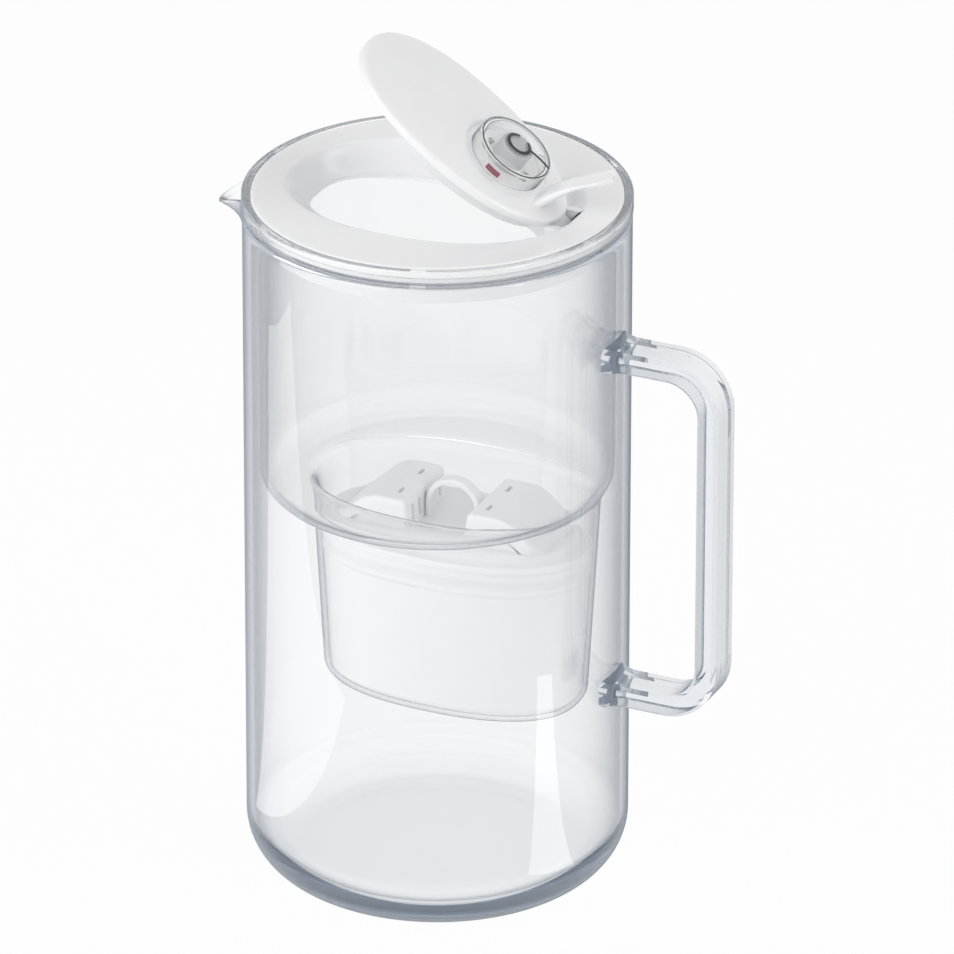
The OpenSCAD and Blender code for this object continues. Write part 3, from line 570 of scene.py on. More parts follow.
outer_floor, outer_turn = hopper_floor(pocket_ring(FLOOR_Z, 0), FUNNEL_R, FLOOR_BEND, FLOOR_Z,
                                       MOUTH_BEND - FUNNEL_T)
inner_floor, inner_turn = hopper_floor(pocket_ring(FLOOR_Z, FUNNEL_T), FUNNEL_R - FUNNEL_T,
                                       FLOOR_BEND - FUNNEL_T, FLOOR_Z + FUNNEL_T, MOUTH_BEND)
print("hopper floor:", len(outer_floor), "rows of", len(outer_turn), "points")

# %% Funnel
HOPPER_IN, WALL_FOOT = FUNNEL_R - FUNNEL_T, FLOOR_Z + FLOOR_BEND + 6
DRAIN_W, DRAIN_HALF, DRAIN_PITCH = 3.0, (POCKET_B - POCKET_TAPER) * 0.32, (POCKET_A - POCKET_TAPER) / 6

pocket_levels = np.linspace(POCKET_Z + POCKET_BEND, FLOOR_Z - 3, 22)[1:]
foot = pocket_foot(POCKET_Z, 0, POCKET_BEND)
foot_in = pocket_foot(POCKET_Z + FUNNEL_T, FUNNEL_T, POCKET_BEND - FUNNEL_T)
outer_skin = filled(foot[0]) + foot + [pocket_ring(z, 0) for z in pocket_levels] + outer_floor
inner_skin = filled(foot_in[0]) + foot_in + [pocket_ring(z, FUNNEL_T) for z in pocket_levels] + inner_floor
collar = rounded([(FUNNEL_R, WALL_FOOT, 0), (FUNNEL_R, FLANGE_Z, 0.8), (COLLAR_R, FLANGE_Z, 0.4),
                  (COLLAR_R, TOP_Z, 0.8), (COLLAR_IN, TOP_Z, 0.8), (COLLAR_IN, SEAT_Z, 0.3)], 5)
hopper_wall = rounded([(COLLAR_IN - 0.4, SEAT_Z, 0), (HOPPER_IN, SEAT_Z, 0.6), (HOPPER_IN, WALL_FOOT, 0)], 5)
funnel = surface(np.array(outer_skin + list(lathe(finer(collar, 6.0), outer_turn))
                          + list(lathe(finer(hopper_wall, 6.0), inner_turn)) + inner_skin[::-1]))
for k in range(-3, 4):
    x = POCKET_X + k * DRAIN_PITCH
    slot = block((x - DRAIN_W / 2, -DRAIN_HALF, POCKET_Z - 1),
                 (x + DRAIN_W / 2, DRAIN_HALF, POCKET_Z + FUNNEL_T + 1))
    funnel = combined(funnel, slot, "DIFFERENCE")
piece("funnel_moulding", funnel, clear_plastic, "funnel",
      ("funnel_hopper", "cartridge_pocket"), 50)

# %% [markdown]
# The cartridge. Its shell is an oval cup of white polypropylene with rounded feet. A soft band
# seals it in the pocket, and the cap has two humps with vents, joined by an arch to pull it
# out by. The shell and band are stacks of ovals. The humps are one profile with thickness,
# kept inside the cap's oval rim, and their vents and grooves are cut like a mould's cores would
# leave them.

# %% Cartridge shell and seal
CART_IN, SHELL_T, SHELL_Z, SEAL_H = FUNNEL_T + 0.9, 1.6, POCKET_Z + FUNNEL_T + 0.3, 9.8
shell_levels = np.linspace(SHELL_Z + 5, SEAL_Z, 16)[1:]
shell_foot = pocket_foot(SHELL_Z, CART_IN, 5.0)
shell_foot_in = pocket_foot(SHELL_Z + SHELL_T, CART_IN + SHELL_T, 4.0)
shell_rows = filled(shell_foot[0]) + shell_foot + [pocket_ring(z, CART_IN) for z in shell_levels]
shell_rows += [pocket_ring(z, CART_IN + SHELL_T) for z in shell_levels[::-1]]
shell_rows += (filled(shell_foot_in[0]) + shell_foot_in)[::-1]
piece("filter_shell", surface(np.array(shell_rows)), cartridge_white, "cartridge",
      ("cartridge_shell",), 50)

band, lip = FUNNEL_T + 0.7, FUNNEL_T + 0.3
seal_profile = [(0, band + 0.15), (0.5, band), (1.4, lip + 0.1), (2.0, lip), (2.8, lip + 0.1), (3.6, band)]
seal_rows = [pocket_ring(SEAL_Z - SEAL_H + z, inset) for z, inset in seal_profile]
seal_rows += [pocket_ring(SEAL_Z - z, inset) for z, inset in seal_profile[::-1]]
seal_rows += [pocket_ring(SEAL_Z, CART_IN), pocket_ring(SEAL_Z - SEAL_H, CART_IN)]
piece("filter_seal", surface(np.array(seal_rows), "loop"), seal_white, "cartridge",
      ("cartridge_seal",))

# %% Cartridge cap
HUMP_IN, HUMP_H, CAP_INSET, CAP_Z = 11.2, 16.4, CART_IN - 0.6, SEAL_Z + 5.0
HUMP_FLAT, HUMP_OUT, HUMP_HALF = HUMP_IN + 11.8, POCKET_A - 7.6, POCKET_B / 2 + 0.4
HUMP_TOP, HUMP_FOOT, CAP_RIM_W = SEAL_Z + HUMP_H, SEAL_Z + 2.6, 5.2
VENT_X, VENT_HALF_X, VENT_HALF_Y, GROOVE_HALF_Y, GROOVE_DEEP = HUMP_IN + 5.8, 0.7, 2.2, 0.9, 2.5

cap_profile = [(0, 0), (1.2, 0), (1.9, 0.15), (2.3, 0.5), (2.45, 1.2),
               (2.6, 3), (3.2, 3.9), (4.2, 4.8), (4.8, 5.6), (5, 6.6)]
cap_rows = [pocket_ring(SEAL_Z + z, CAP_INSET + inset) for z, inset in cap_profile]
under = at_height(cap_rows[0][:, :2], SEAL_Z)
cap = surface(np.array(filled(under) + cap_rows + filled(cap_rows[-1])[::-1]))

share = np.linspace(0, 1, 19)
slope = np.stack([HUMP_FLAT + (HUMP_OUT - HUMP_FLAT) * share,
                  HUMP_TOP + (CAP_Z - 1.5 - HUMP_TOP) * wave(share)], axis=1)
face = rounded([(HUMP_IN - 0.6, HUMP_FOOT, 0), (HUMP_IN + 0.5, HUMP_TOP, 2.2),
                (HUMP_FLAT - 0.5, HUMP_TOP, 0)], 8)
hump = np.vstack([face, slope, [(HUMP_OUT, HUMP_FOOT)]])
cap_rim = CAP_INSET + POCKET_TAPER * (1 - (SEAL_Z - POCKET_Z) / (FLOOR_Z - POCKET_Z)) + CAP_RIM_W


def inside_cap(outline, y):
    """Keeps an outline at a given Y inside the cap's oval: |x| is at most a (1 - |y/b|^n)^(1/n)."""
    taken = min(abs(y) / (POCKET_B - cap_rim), 1) ** POCKET_POWER
    reach = (POCKET_A - cap_rim) * (1 - taken) ** (1 / POCKET_POWER)
    return np.column_stack([np.minimum(outline[:, 0], reach), outline[:, 1]])


cap_parts = [cap]
for side in (-1, 1):
    points, faces = slab(hump, -HUMP_HALF, HUMP_HALF, 1.1, 5, inside_cap)
    facing = faces if side > 0 else [corners[::-1] for corners in faces]
    half = (points * (side, 1, 1) + (POCKET_X, 0, 0), facing)
    for y in (-HUMP_HALF / 2, HUMP_HALF / 2):
        x = POCKET_X + side * VENT_X
        vent = block((x - VENT_HALF_X, y - VENT_HALF_Y, HUMP_TOP - 5),
                     (x + VENT_HALF_X, y + VENT_HALF_Y, HUMP_TOP + 1))
        half = combined(half, vent, "DIFFERENCE")
    for k in range(-2, 3):
        x, y = POCKET_X + side * (HUMP_IN - 1), k * HUMP_HALF / 3
        groove = block((x - GROOVE_DEEP, y - GROOVE_HALF_Y, CAP_Z + 1.6),
                       (x + GROOVE_DEEP, y + GROOVE_HALF_Y, CAP_Z + 8.4))
        half = combined(half, groove, "DIFFERENCE")
    cap_parts.append(half)
piece("filter_cap", joined(*cap_parts), cartridge_white, "cartridge",
      ("cartridge_cap",), 35)

# %% Cartridge loop
LOOP_R, LOOP_Z, LOOP_FOOT = HUMP_IN - 1.8, HUMP_TOP + 4.6 - (HUMP_IN - 0.8), CAP_Z - 0.5
LOOP_HALF_T, LOOP_HALF_W, LOOP_EDGE = 1.0, 2.5, 0.5

arch = np.vstack([[(POCKET_X + LOOP_R, LOOP_FOOT)], arc(POCKET_X, LOOP_Z, LOOP_R, np.linspace(0, np.pi, 33)),
                  [(POCKET_X - LOOP_R, LOOP_FOOT)]])
loop_corners = [(LOOP_HALF_T, LOOP_HALF_W, LOOP_EDGE), (-LOOP_HALF_T, LOOP_HALF_W, LOOP_EDGE),
                (-LOOP_HALF_T, -LOOP_HALF_W, LOOP_EDGE), (LOOP_HALF_T, -LOOP_HALF_W, LOOP_EDGE)]
loop_section = finer(rounded(loop_corners, 4, closed=True), 1.2, closed=True)
piece("filter_loop", bar(finer(arch, 1.2), loop_section), cartridge_white, "cartridge",
      ("cartridge_loop",))

# %% [markdown]
# The lid. It is a flat white disc with a skirt that fits the funnel, and an oval filling hole
# whose edge rolls down like a basin. Its section closes on itself, so the surface is one loop
# of rings: up the skirt, over the top, down the roll, and back underneath. The rings change
# from circles to ovals on the way.

# %% Lid
LID_R, SKIRT_R, LID_T, SKIRT_H, FLARE_H, THROAT_T = COLLAR_IN - 0.2, 60.2, 2.2, 14.7, 8.0, 1.8
SKIRT_IN, RIM_FLAT = SKIRT_R - FUNNEL_T, LID_R - 1.6
HOLE_X, HOLE_MEAN_R = -0.5, 40.0
hole_low, hole_top = oval(45.3, 25.3, HOLE_X, 2.7, 2.2), oval(54.5, 42.5, HOLE_X, 2.2, 2.1)
round_line = np.stack([np.cos(TURN), np.sin(TURN)], axis=1)


def roll_z(share):
    """Height of the rolled edge, from top - depth at the low hole (0) to the top at the top hole (1)."""
    return TOP_Z - FLARE_H * (1 - wave(share))


def roll(share, drop=0.0, inset=0.0):
    """A ring of the rolled edge: the outline goes from the low hole (0) to the top hole (1), and the
    height follows by a wave, less a drop. An inset draws it in by about that many millimetres."""
    outline = hole_low + (hole_top - hole_low) * share
    middle = np.array([HOLE_X, 0.0])
    outline = middle + (outline - middle) * (1 - inset / HOLE_MEAN_R)
    return at_height(outline, roll_z(share) - drop)


edge_of_lid = rounded([(SKIRT_IN, TOP_Z - 6, 0), (SKIRT_IN, TOP_Z - SKIRT_H, 0.7),
                       (SKIRT_R, TOP_Z - SKIRT_H, 0.7), (SKIRT_R, SEAT_Z, 0.3), (LID_R, SEAT_Z, 0.3),
                       (LID_R, TOP_Z, 0.9), (RIM_FLAT, TOP_Z, 0)], 6)
lid_rows = list(lathe(finer(edge_of_lid, 2.0)))
outer_line, under_line = RIM_FLAT * round_line, SKIRT_IN * round_line
for share in np.linspace(0, 1, 13)[1:-1]:
    lid_rows.append(at_height(outer_line + (hole_top - outer_line) * share, TOP_Z))
lid_rows += [roll(share) for share in np.linspace(1, 0, 29)[:-1]]
for a in np.radians((0, 30, 60, 90)):
    lid_rows.append(roll(0, 0.5 * (1 - np.cos(a)), 0.5 * (1 - np.sin(a)) - 0.5))
lid_rows += [roll(0, THROAT_T - 0.3), roll(0, THROAT_T, -0.4)]
lid_rows += [roll(share, THROAT_T + (LID_T - THROAT_T) * share) for share in np.linspace(0, 1, 13)[1:]]
for share in (0.33, 0.66, 1):
    lid_rows.append(at_height(hole_top + (under_line - hole_top) * share, TOP_Z - LID_T))
lid_shape = surface(np.array(lid_rows), "loop")
print("lid:", len(lid_rows), "rings of", AROUND, "points")

# %% [markdown]
# The hinge's seat in the lid. A slot lets the flap's tongue down to the pin, two lugs under the
# lid hold the pin's ends, and a thin wall behind the barrel carries the lid's rolled edge across
# the slot, so that no dark gap shows there when the flap stands open.

# %% Hinge slot, lugs and wall
PIN_R, BARREL_R, TONGUE_W, LUG_T = 1.5, 3.2, 13.6, 3.0
SLOT_HALF, SLOT_START, SLOT_END = TONGUE_W / 2 + 0.4, HINGE_X - 12, HINGE_X + BARREL_R + 0.4
LUG_R, LUG_TOP = PIN_R + 2.6, TOP_Z - LID_T / 2
GUARD_R, GUARD_END = BARREL_R + 0.15, HINGE_X + BARREL_R + 0.6

slot_line = rounded([(SLOT_START, -SLOT_HALF, 0), (SLOT_END, -SLOT_HALF, 1.4),
                     (SLOT_END, SLOT_HALF, 1.4), (SLOT_START, SLOT_HALF, 0)], 5)
slot_cutter = surface([at_height(slot_line, TOP_Z - 20), at_height(slot_line, TOP_Z + 2)])
lid_shape = combined(lid_shape, slot_cutter, "DIFFERENCE")
lug_line = np.vstack([arc(HINGE_X, HINGE_Z, LUG_R, np.radians(np.linspace(180, 360, 21))),
                      [(HINGE_X + LUG_R, LUG_TOP), (HINGE_X - LUG_R, LUG_TOP)]])
lugs = [slab(lug_line, low, low + LUG_T, 0.3) for low in (-SLOT_HALF - LUG_T, SLOT_HALF)]
guard_x = np.linspace(HINGE_X + 0.5, GUARD_END, 12)
low_end, top_end = hole_low[:, 0].max(), hole_top[:, 0].max()
guard_z = roll_z((guard_x - low_end) / (top_end - low_end)) - 0.05
guard_line = np.vstack([arc(HINGE_X, HINGE_Z, GUARD_R, np.radians(np.linspace(-40, 54, 20))),
                        np.stack([guard_x, guard_z], axis=1), [(GUARD_END, HINGE_Z - 2.2)]])
guard = slab(guard_line, -SLOT_HALF, SLOT_HALF, 0.02, 1)
piece("lid_top", joined(lid_shape, *lugs, guard), gloss_white, "lid", ("lid",), 35)

# %% [markdown]
# The flap is a long oval with a soft crown, a round recess for the dial, and a thumb lever at
# its hinge end. It is made closed, lying level, and then turned about the hinge pin to where it
# stands open. The crown's height is its rise times 1 - q^2, where q is how far out a point lies
# on its oval.

# %% Flap cover
CROWN_IN = 1.2
DIAL_FLOOR, RECESS_R, RECESS_EDGE = FLAP_TOP + 0.8, DIAL_R + 1.9, 1.5


def flap_ring(inset, rise):
    """The flap's outline drawn in by an inset, at a height above its edge."""
    return at_height(oval(FLAP_A - inset, FLAP_B - inset, FLAP_X, *FLAP_POWERS), FLAP_TOP + rise)


def crown_z(plan):
    """Height of the crown: rise (1 - q^2), with q = (|x/a|^n + |y/b|^n)^(1/n) about the flap's middle."""
    x, y = np.abs(plan[:, 0] - FLAP_X) / (FLAP_A - CROWN_IN), np.abs(plan[:, 1]) / (FLAP_B - CROWN_IN)
    power = np.where(plan[:, 0] < FLAP_X, *FLAP_POWERS)
    return FLAP_TOP + FLAP_CROWN * (1 - np.minimum((x ** power + y ** power) ** (1 / power), 1) ** 2)


edge_profile = [(1.0, -FLAP_T), (0.45, -3.3), (0.12, -3.05), (0, -2.7),
                (0, -1.2), (0.08, -0.85), (0.3, -0.5), (0.62, -0.24)]
flap_rows = filled(flap_ring(1.0, -FLAP_T)) + [flap_ring(*place) for place in edge_profile]
crown_line = flap_ring(CROWN_IN, 0)[:, :2]
recess_edge = (RECESS_R + RECESS_EDGE) * round_line + (DIAL_X, 0)
for share in np.linspace(0, 1, 27):
    plan = crown_line + (recess_edge - crown_line) * share
    flap_rows.append(at_height(plan, crown_z(plan)))
brim = crown_z(recess_edge)
for a in np.radians((15, 30, 45, 60, 75, 90)):
    plan = (RECESS_R + RECESS_EDGE * (1 - np.sin(a))) * round_line + (DIAL_X, 0)
    flap_rows.append(at_height(plan, DIAL_FLOOR + 0.25 + (brim - DIAL_FLOOR - 0.25) * np.cos(a)))
flap_rows.append(at_height((RECESS_R - 0.2) * round_line + (DIAL_X, 0), DIAL_FLOOR))
flap_rows += filled(flap_rows[-1])[::-1]
cover = surface(np.array(flap_rows))
print("flap cover:", len(flap_rows), "rings before the lever is added")

# %% [markdown]
# The thumb lever grows out of the flap, leans back over the lid's edge, and widens again to a
# rounded pad with a shallow dish for the thumb. Its middle line, half width and thickness are
# each a formula of the share of the way up it. Around it runs a rounded section whose points
# are (sign(cos t)|cos t|^0.7, sign(sin t)|sin t|^0.7), and the dish is sunk into one face as
# depth (1 - x^2) across the pad.

# %% Thumb lever
LEVER_H, LEVER_W, LEVER_X, LEVER_SUNK = 26.4, 14.0, FLAP_X + FLAP_A - 6.4, 1.2
LEAN, BELLY, WAIST, PAD, DISH = 13.6, 2.6, 6.0, 3.0, 1.5
ROOT_T, TIP_T = 5.2, 2.0

up = np.linspace(0, 1, 61)
lever_line = np.stack([LEVER_X - 3 + LEAN * up ** 2.1 + BELLY * np.sin(np.pi * up),
                       FLAP_TOP - LEVER_SUNK + (LEVER_H + LEVER_SUNK) * up ** 0.9], axis=1)
waist = LEVER_W + 3 - WAIST * np.minimum(1, 2.2 * up)
lever_half = (waist + PAD * wave(np.maximum(0, (up - 0.45) / 0.55))) / 2
lever_half *= np.sqrt(np.maximum(1 - (1 - np.clip((1 - up) / 0.2, 0, 1)) ** 2.2, 0.012))
lever_thick = ROOT_T - (ROOT_T - TIP_T) * np.minimum(1, 1.5 * up)
lever_thick *= np.sqrt(np.maximum(1 - (1 - np.clip((1 - up) / 0.04, 0, 1)) ** 2, 0.1))
lever_dir = np.gradient(lever_line, axis=0)
lever_dir /= np.linalg.norm(lever_dir, axis=1)[:, None]
turn = 2 * np.pi * np.arange(64) / 64
across = np.sign(np.cos(turn)) * np.abs(np.cos(turn)) ** 0.7
through = np.sign(np.sin(turn)) * np.abs(np.sin(turn)) ** 0.7
dish = DISH * wave(np.clip((up - 0.4) / 0.45, 0, 1))[:, None] * (across[None, :] ** 2 - 1)
rise = lever_thick[:, None] / 2 * through[None, :] - dish
lever_rings = np.stack([lever_line[:, :1] + rise * lever_dir[:, 1:], lever_half[:, None] * -across[None, :],
                        lever_line[:, 1:] - rise * lever_dir[:, :1]], axis=2)
cover = combined(cover, surface(lever_rings), "UNION")
piece("flap_top", opened(cover), gloss_white, "flap", ("flap_cover",), 40)

# %% [markdown]
# Under the flap sits a housing for the dial's axle and the hinge. Its front face slants, and a
# soft maximum, (a + b + sqrt((a - b)^2 + k^2)) / 2, cuts the oval there with rounded corners.
# The tongue behind it holds the hinge pin, and a clear lip seals the flap on the lid.

# %% Flap housing, tongue and seal
HOUSING_H, HOUSING_IN, SLOPE, CORNER_K = 9.5, 4.3, 10.0, 2.0
HOUSING_X, WEB = FLAP_X + 1.3, 14.0


def housing_ring(drop, inset):
    """The housing's outline at a depth below the flap's edge."""
    drawn = HOUSING_IN + inset
    outline = oval(FLAP_A - drawn, FLAP_B - drawn, FLAP_X, *FLAP_POWERS)
    front = HOUSING_X + inset - SLOPE * (HOUSING_H - drop) / (HOUSING_H - FLAP_T)
    x = (outline[:, 0] + front + np.sqrt((outline[:, 0] - front) ** 2 + CORNER_K ** 2)) / 2
    x = np.minimum(x, FLAP_X + FLAP_A - drawn)
    return at_height(np.column_stack([x, outline[:, 1]]), FLAP_TOP - drop)


housing_profile = [(FLAP_T - 0.1, 0), (4.6, 0.02), (6.0, 0.05), (7.4, 0.1),
                   (8.3, 0.25), (8.9, 0.6), (9.3, 1.1), (HOUSING_H, 2.0)]
housing_rings = [housing_ring(*place) for place in housing_profile]
housing = surface(np.array(filled(housing_rings[0]) + housing_rings + filled(housing_rings[-1])[::-1]))
tongue_line = np.vstack([[(HINGE_X - WEB, HINGE_Z - BARREL_R)],
                         arc(HINGE_X, HINGE_Z, BARREL_R, np.radians(np.linspace(-90, 60, 20))),
                         [(HINGE_X - WEB, HINGE_Z + BARREL_R * 0.85)]])
tongue = slab(tongue_line, -TONGUE_W / 2, TONGUE_W / 2, 0.5)
piece("flap_housing", opened(joined(housing, tongue)), satin_white, "flap",
      ("flap_base",), 35)

LIP_SUNK = 0.3 - FLAP_T
lip_profile = [(1.3, LIP_SUNK), (1.5, -3.9), (1.9, -4.3), (2.3, -4.5),
               (2.8, -4.4), (3.1, -4.0), (3.2, LIP_SUNK)]
lip_rows = np.array([flap_ring(*place) for place in lip_profile])
piece("flap_lip", opened(surface(lip_rows, "loop")), clear_silicone, "flap",
      ("flap_seal",))

# %% [markdown]
# The dial. A clear knob covers a printed disc, a grained grey hub and a red mark. The knob,
# the hub with its axle, and the disc are turned parts, so each is a lathe profile. They are
# drawn about Z and then moved to the dial's axis on the open flap.

# %% Dial knob, hub and disc
KNOB_TOP, DOME, KNOB_T = FLAP_TOP + 7.3, 2.6, 1.3
DOME_R = (DIAL_R ** 2 + DOME ** 2) / (2 * DOME)
DISC_TOP, MARK_R = DIAL_FLOOR + 1.0, DIAL_R - KNOB_T - 0.3


def dome_z(radius, depth=0.0):
    """Height of the knob's domed top at a radius, or of the same dome a depth below it."""
    return KNOB_TOP + DOME - DOME_R + np.sqrt((DOME_R - depth) ** 2 - np.square(radius))


def on_dial(shape):
    """A shape drawn about Z, moved to the dial's axis on the open flap."""
    return opened((shape[0] + (DIAL_X, 0, 0), shape[1]))


CENTRE_R, KNOB_IN, SKIRT_LOW = 0.3, DIAL_R - KNOB_T, DIAL_FLOOR + 0.3
dome_radii = np.linspace(DIAL_R - 0.9, CENTRE_R, 16)
inner_radii = np.linspace(CENTRE_R, KNOB_IN - 0.6, 14)
knob_line = np.vstack([np.stack([inner_radii, dome_z(inner_radii, KNOB_T)], axis=1),
                       [(KNOB_IN, dome_z(KNOB_IN, KNOB_T) - 0.7), (KNOB_IN, SKIRT_LOW + 0.1),
                        (KNOB_IN + 0.2, SKIRT_LOW), (DIAL_R - 0.2, SKIRT_LOW), (DIAL_R, SKIRT_LOW + 0.3),
                        (DIAL_R, KNOB_TOP - 0.3), (DIAL_R - 0.12, KNOB_TOP + 0.05),
                        (DIAL_R - 0.4, KNOB_TOP + 0.2)],
                       np.stack([dome_radii, dome_z(dome_radii)], axis=1)])
piece("dial_dome", on_dial(surface(lathe(knob_line))), knob_plastic, "dial",
      ("dial_knob",), 45)

HUB_R, AXLE_R, AXLE_LOW, DISC_HOLE_R = 6.0, 2.0, FLAP_TOP - 3.8, 2.4
hub_low, hub_top = DISC_TOP + 0.1, float(dome_z(HUB_R - 0.4, KNOB_T)) - 0.05
hub_line = rounded([(CENTRE_R, hub_low, 0), (HUB_R, hub_low, 0.2), (HUB_R, hub_top, 0.5),
                    (CENTRE_R, hub_top + 0.15, 0)], 4)
axle_line = rounded([(CENTRE_R, AXLE_LOW, 0), (AXLE_R, AXLE_LOW, 0.3), (AXLE_R, DISC_TOP + 0.5, 0.1),
                     (CENTRE_R, DISC_TOP + 0.5, 0)], 3)
hub = joined(surface(lathe(finer(hub_line, 1.0))), surface(lathe(axle_line)))
piece("dial_barrel", on_dial(hub), hub_grey, "dial", ("dial_hub",))

disc_line = rounded([(DISC_HOLE_R, DIAL_FLOOR, 0), (MARK_R, DIAL_FLOOR, 0.1), (MARK_R, DISC_TOP, 0.2),
                     (DISC_HOLE_R, DISC_TOP, 0)], 3)
disc = surface(lathe(finer(disc_line, 2.0)), "loop")
piece("dial_face", on_dial(disc), disc_white, "flap", ("scale_disc",))

# %% [markdown]
# The marks. The pointer is printed in black on the knob: a broken ring over the hub, a line out
# to the edge, and a fine line along the edge. The red mark stands on the disc's edge. The
# numbers are plain ones, printed on the disc with their tops outwards. A print is made as a thin
# body that is sunk a little into what carries it, because two faces in one place would flicker.

# %% Dial prints and mark
PRINT_SUNK, PRINT_PROUD = -0.1, 0.12


def arc_print(radius, width, start, end, steps):
    """A printed line along a circle on the knob's dome, from one angle to another in degrees. The
    section is a rectangle with its top corners rounded, carried round the dial's axis."""
    half = width / 2
    section = rounded([(-half, PRINT_SUNK, 0), (half, PRINT_SUNK, 0), (half, PRINT_PROUD, 0.06),
                       (-half, PRINT_PROUD, 0.06)], 2)
    out = radius + section[:, 0]
    rings = [np.column_stack([out * math.cos(a), out * math.sin(a), dome_z(out) + section[:, 1]])
             for a in np.radians(np.linspace(start, end, steps))]
    return surface(np.array(rings))


def line_print(low_r, high_r, width, turn):
    """A straight printed line from one radius to another, at an angle from +X: the point at radius r
    and offset v lies at r times the line's direction plus v times its normal, on the dome."""
    radii = np.linspace(low_r, high_r, 16)[:, None]
    offset = np.array([-width / 2, width / 2, width / 2, -width / 2])[None, :]
    height = np.array([PRINT_SUNK, PRINT_SUNK, PRINT_PROUD, PRINT_PROUD])[None, :]
    cos, sin = math.cos(turn), math.sin(turn)
    return surface(np.stack([radii * cos - offset * sin, radii * sin + offset * cos,
                             dome_z(radii) + height], axis=2))


POINTER, RING_R, RING_W, LINE_W, EDGE_W = 18.3, 4.3, 1.2, 1.0, 0.34
prints = [arc_print(RING_R, RING_W, POINTER + 97, POINTER + 408, 96),
          line_print(RING_R + 0.3, DIAL_R - 0.6, LINE_W, math.radians(POINTER)),
          arc_print(DIAL_R - 0.75, EDGE_W, 0, 359.9, 144)]
piece("dial_pointer", on_dial(joined(*prints)), print_black, "dial", ("pointer_ring",))

MARK_T, MARK_H = 0.7, 1.8
mark_section = np.array([(MARK_R - MARK_T, DISC_TOP), (MARK_R, DISC_TOP), (MARK_R, DISC_TOP + MARK_H),
                         (MARK_R - MARK_T, DISC_TOP + MARK_H)])
mark_rings = [np.column_stack([mark_section[:, 0] * math.cos(a), mark_section[:, 0] * math.sin(a),
                               mark_section[:, 1]]) for a in np.radians(np.linspace(-102.5, -77.5, 12))]
piece("dial_mark", on_dial(surface(np.array(mark_rings))), print_red, "flap", ("index_mark",))

# %% Dial numbers
NUMBER_H, NUMBER_T, NUMBER_R = 2.4, 0.02, 8.1


def number(digits, turn):
    """A printed number lying on the disc, its middle at a radius and its top outwards. A capital is
    1 / 1.4 of the letter size, so the size is 1.4 times the height."""
    curve = bpy.data.curves.new("number", "FONT")
    curve.body, curve.size, curve.extrude = digits, NUMBER_H * 1.4 * MM, NUMBER_T * MM
    curve.align_x, curve.align_y = "CENTER", "CENTER"
    print_body = bpy.data.objects.new("number", curve)
    bpy.context.scene.collection.objects.link(print_body)
    bpy.context.view_layer.update()
    mesh = print_body.evaluated_get(bpy.context.evaluated_depsgraph_get()).to_mesh()
    places = np.empty(len(mesh.vertices) * 3)
    mesh.vertices.foreach_get("co", places)
    flat = places.reshape(-1, 3) / MM
    faces = [list(polygon.vertices) for polygon in mesh.polygons]
    bpy.data.objects.remove(print_body)
    out = np.array([math.cos(turn), math.sin(turn)])
    side = np.array([math.sin(turn), -math.cos(turn)])
    plan = flat[:, :1] * side + (flat[:, 1:2] + NUMBER_R) * out
    return np.column_stack([plan, DISC_TOP + 0.03 + flat[:, 2]]), faces


numbers = [number(digits, math.radians(a)) for digits, a in (("30", 92), ("60", 178), ("90", -2))]
piece("dial_numbers", on_dial(joined(*numbers)), print_black, "flap", (), 30)

# %% [markdown]
# The small parts that the frame already holds in their true shape only need their finishes: the
# steel pin and clip, the screens, the granules, the hinge's cover and the pieces of clear seal
# between the glass and the collar. Drawn steel has fine lines along its length, woven nylon two
# sets of threads, and the filter's granules are dark carbon among pale resin beads.

# %% Finishes for the frame's own parts
def drawn_steel(name):
    """Drawn stainless wire: a metal with fine lines along Y, 0.15 mm apart, and an uneven gloss."""
    made, tree = material(name)
    lines = mottling(tree, 0.15, 2.0, (1, 0.05, 1))
    gloss = add(tree, "ShaderNodeMapRange", inputs={
        "Value": lines.outputs["Fac"], "To Min": 0.22, "To Max": 0.38})
    drawn = add(tree, "ShaderNodeBump", inputs={"Height": lines.outputs["Fac"], "Distance": 0.01 * MM})
    shader = add(tree, "ShaderNodeBsdfPrincipled", inputs={
        "Base Color": colour("#b9bcc0"), "Metallic": 1.0, "Roughness": gloss.outputs["Result"],
        "Normal": drawn.outputs["Normal"]})
    add(tree, "ShaderNodeOutputMaterial", inputs={"Surface": shader.outputs["BSDF"]})
    return made


def woven_screen(name, pitch_mm):
    """A woven nylon screen: two sets of threads as crossed waves. A wave repeats every 2 pi / 20 of
    its scaled distance, so these threads stand 2 pi pitches apart, as coarse as they need to show."""
    made, tree = material(name)
    place = add(tree, "ShaderNodeTexCoord")
    threads = [add(tree, "ShaderNodeTexWave", {"wave_type": "BANDS", "bands_direction": axis}, {
        "Vector": place.outputs["Object"], "Scale": 1 / (pitch_mm * MM) / 20}) for axis in ("X", "Y")]
    crossed = add(tree, "ShaderNodeMath", {"operation": "MULTIPLY"}, {
        0: threads[0].outputs["Fac"], 1: threads[1].outputs["Fac"]})
    tone = add(tree, "ShaderNodeMix", {"data_type": "RGBA"}, {
        0: crossed.outputs["Value"], 6: colour("#b4b7ba"), 7: colour("#eeeff0")})
    woven = add(tree, "ShaderNodeBump", inputs={"Height": crossed.outputs["Value"], "Distance": 0.15 * MM})
    shader = add(tree, "ShaderNodeBsdfPrincipled", inputs={
        "Base Color": tone.outputs[2], "Roughness": 0.6, "Normal": woven.outputs["Normal"]})
    add(tree, "ShaderNodeOutputMaterial", inputs={"Surface": shader.outputs["BSDF"]})
    return made


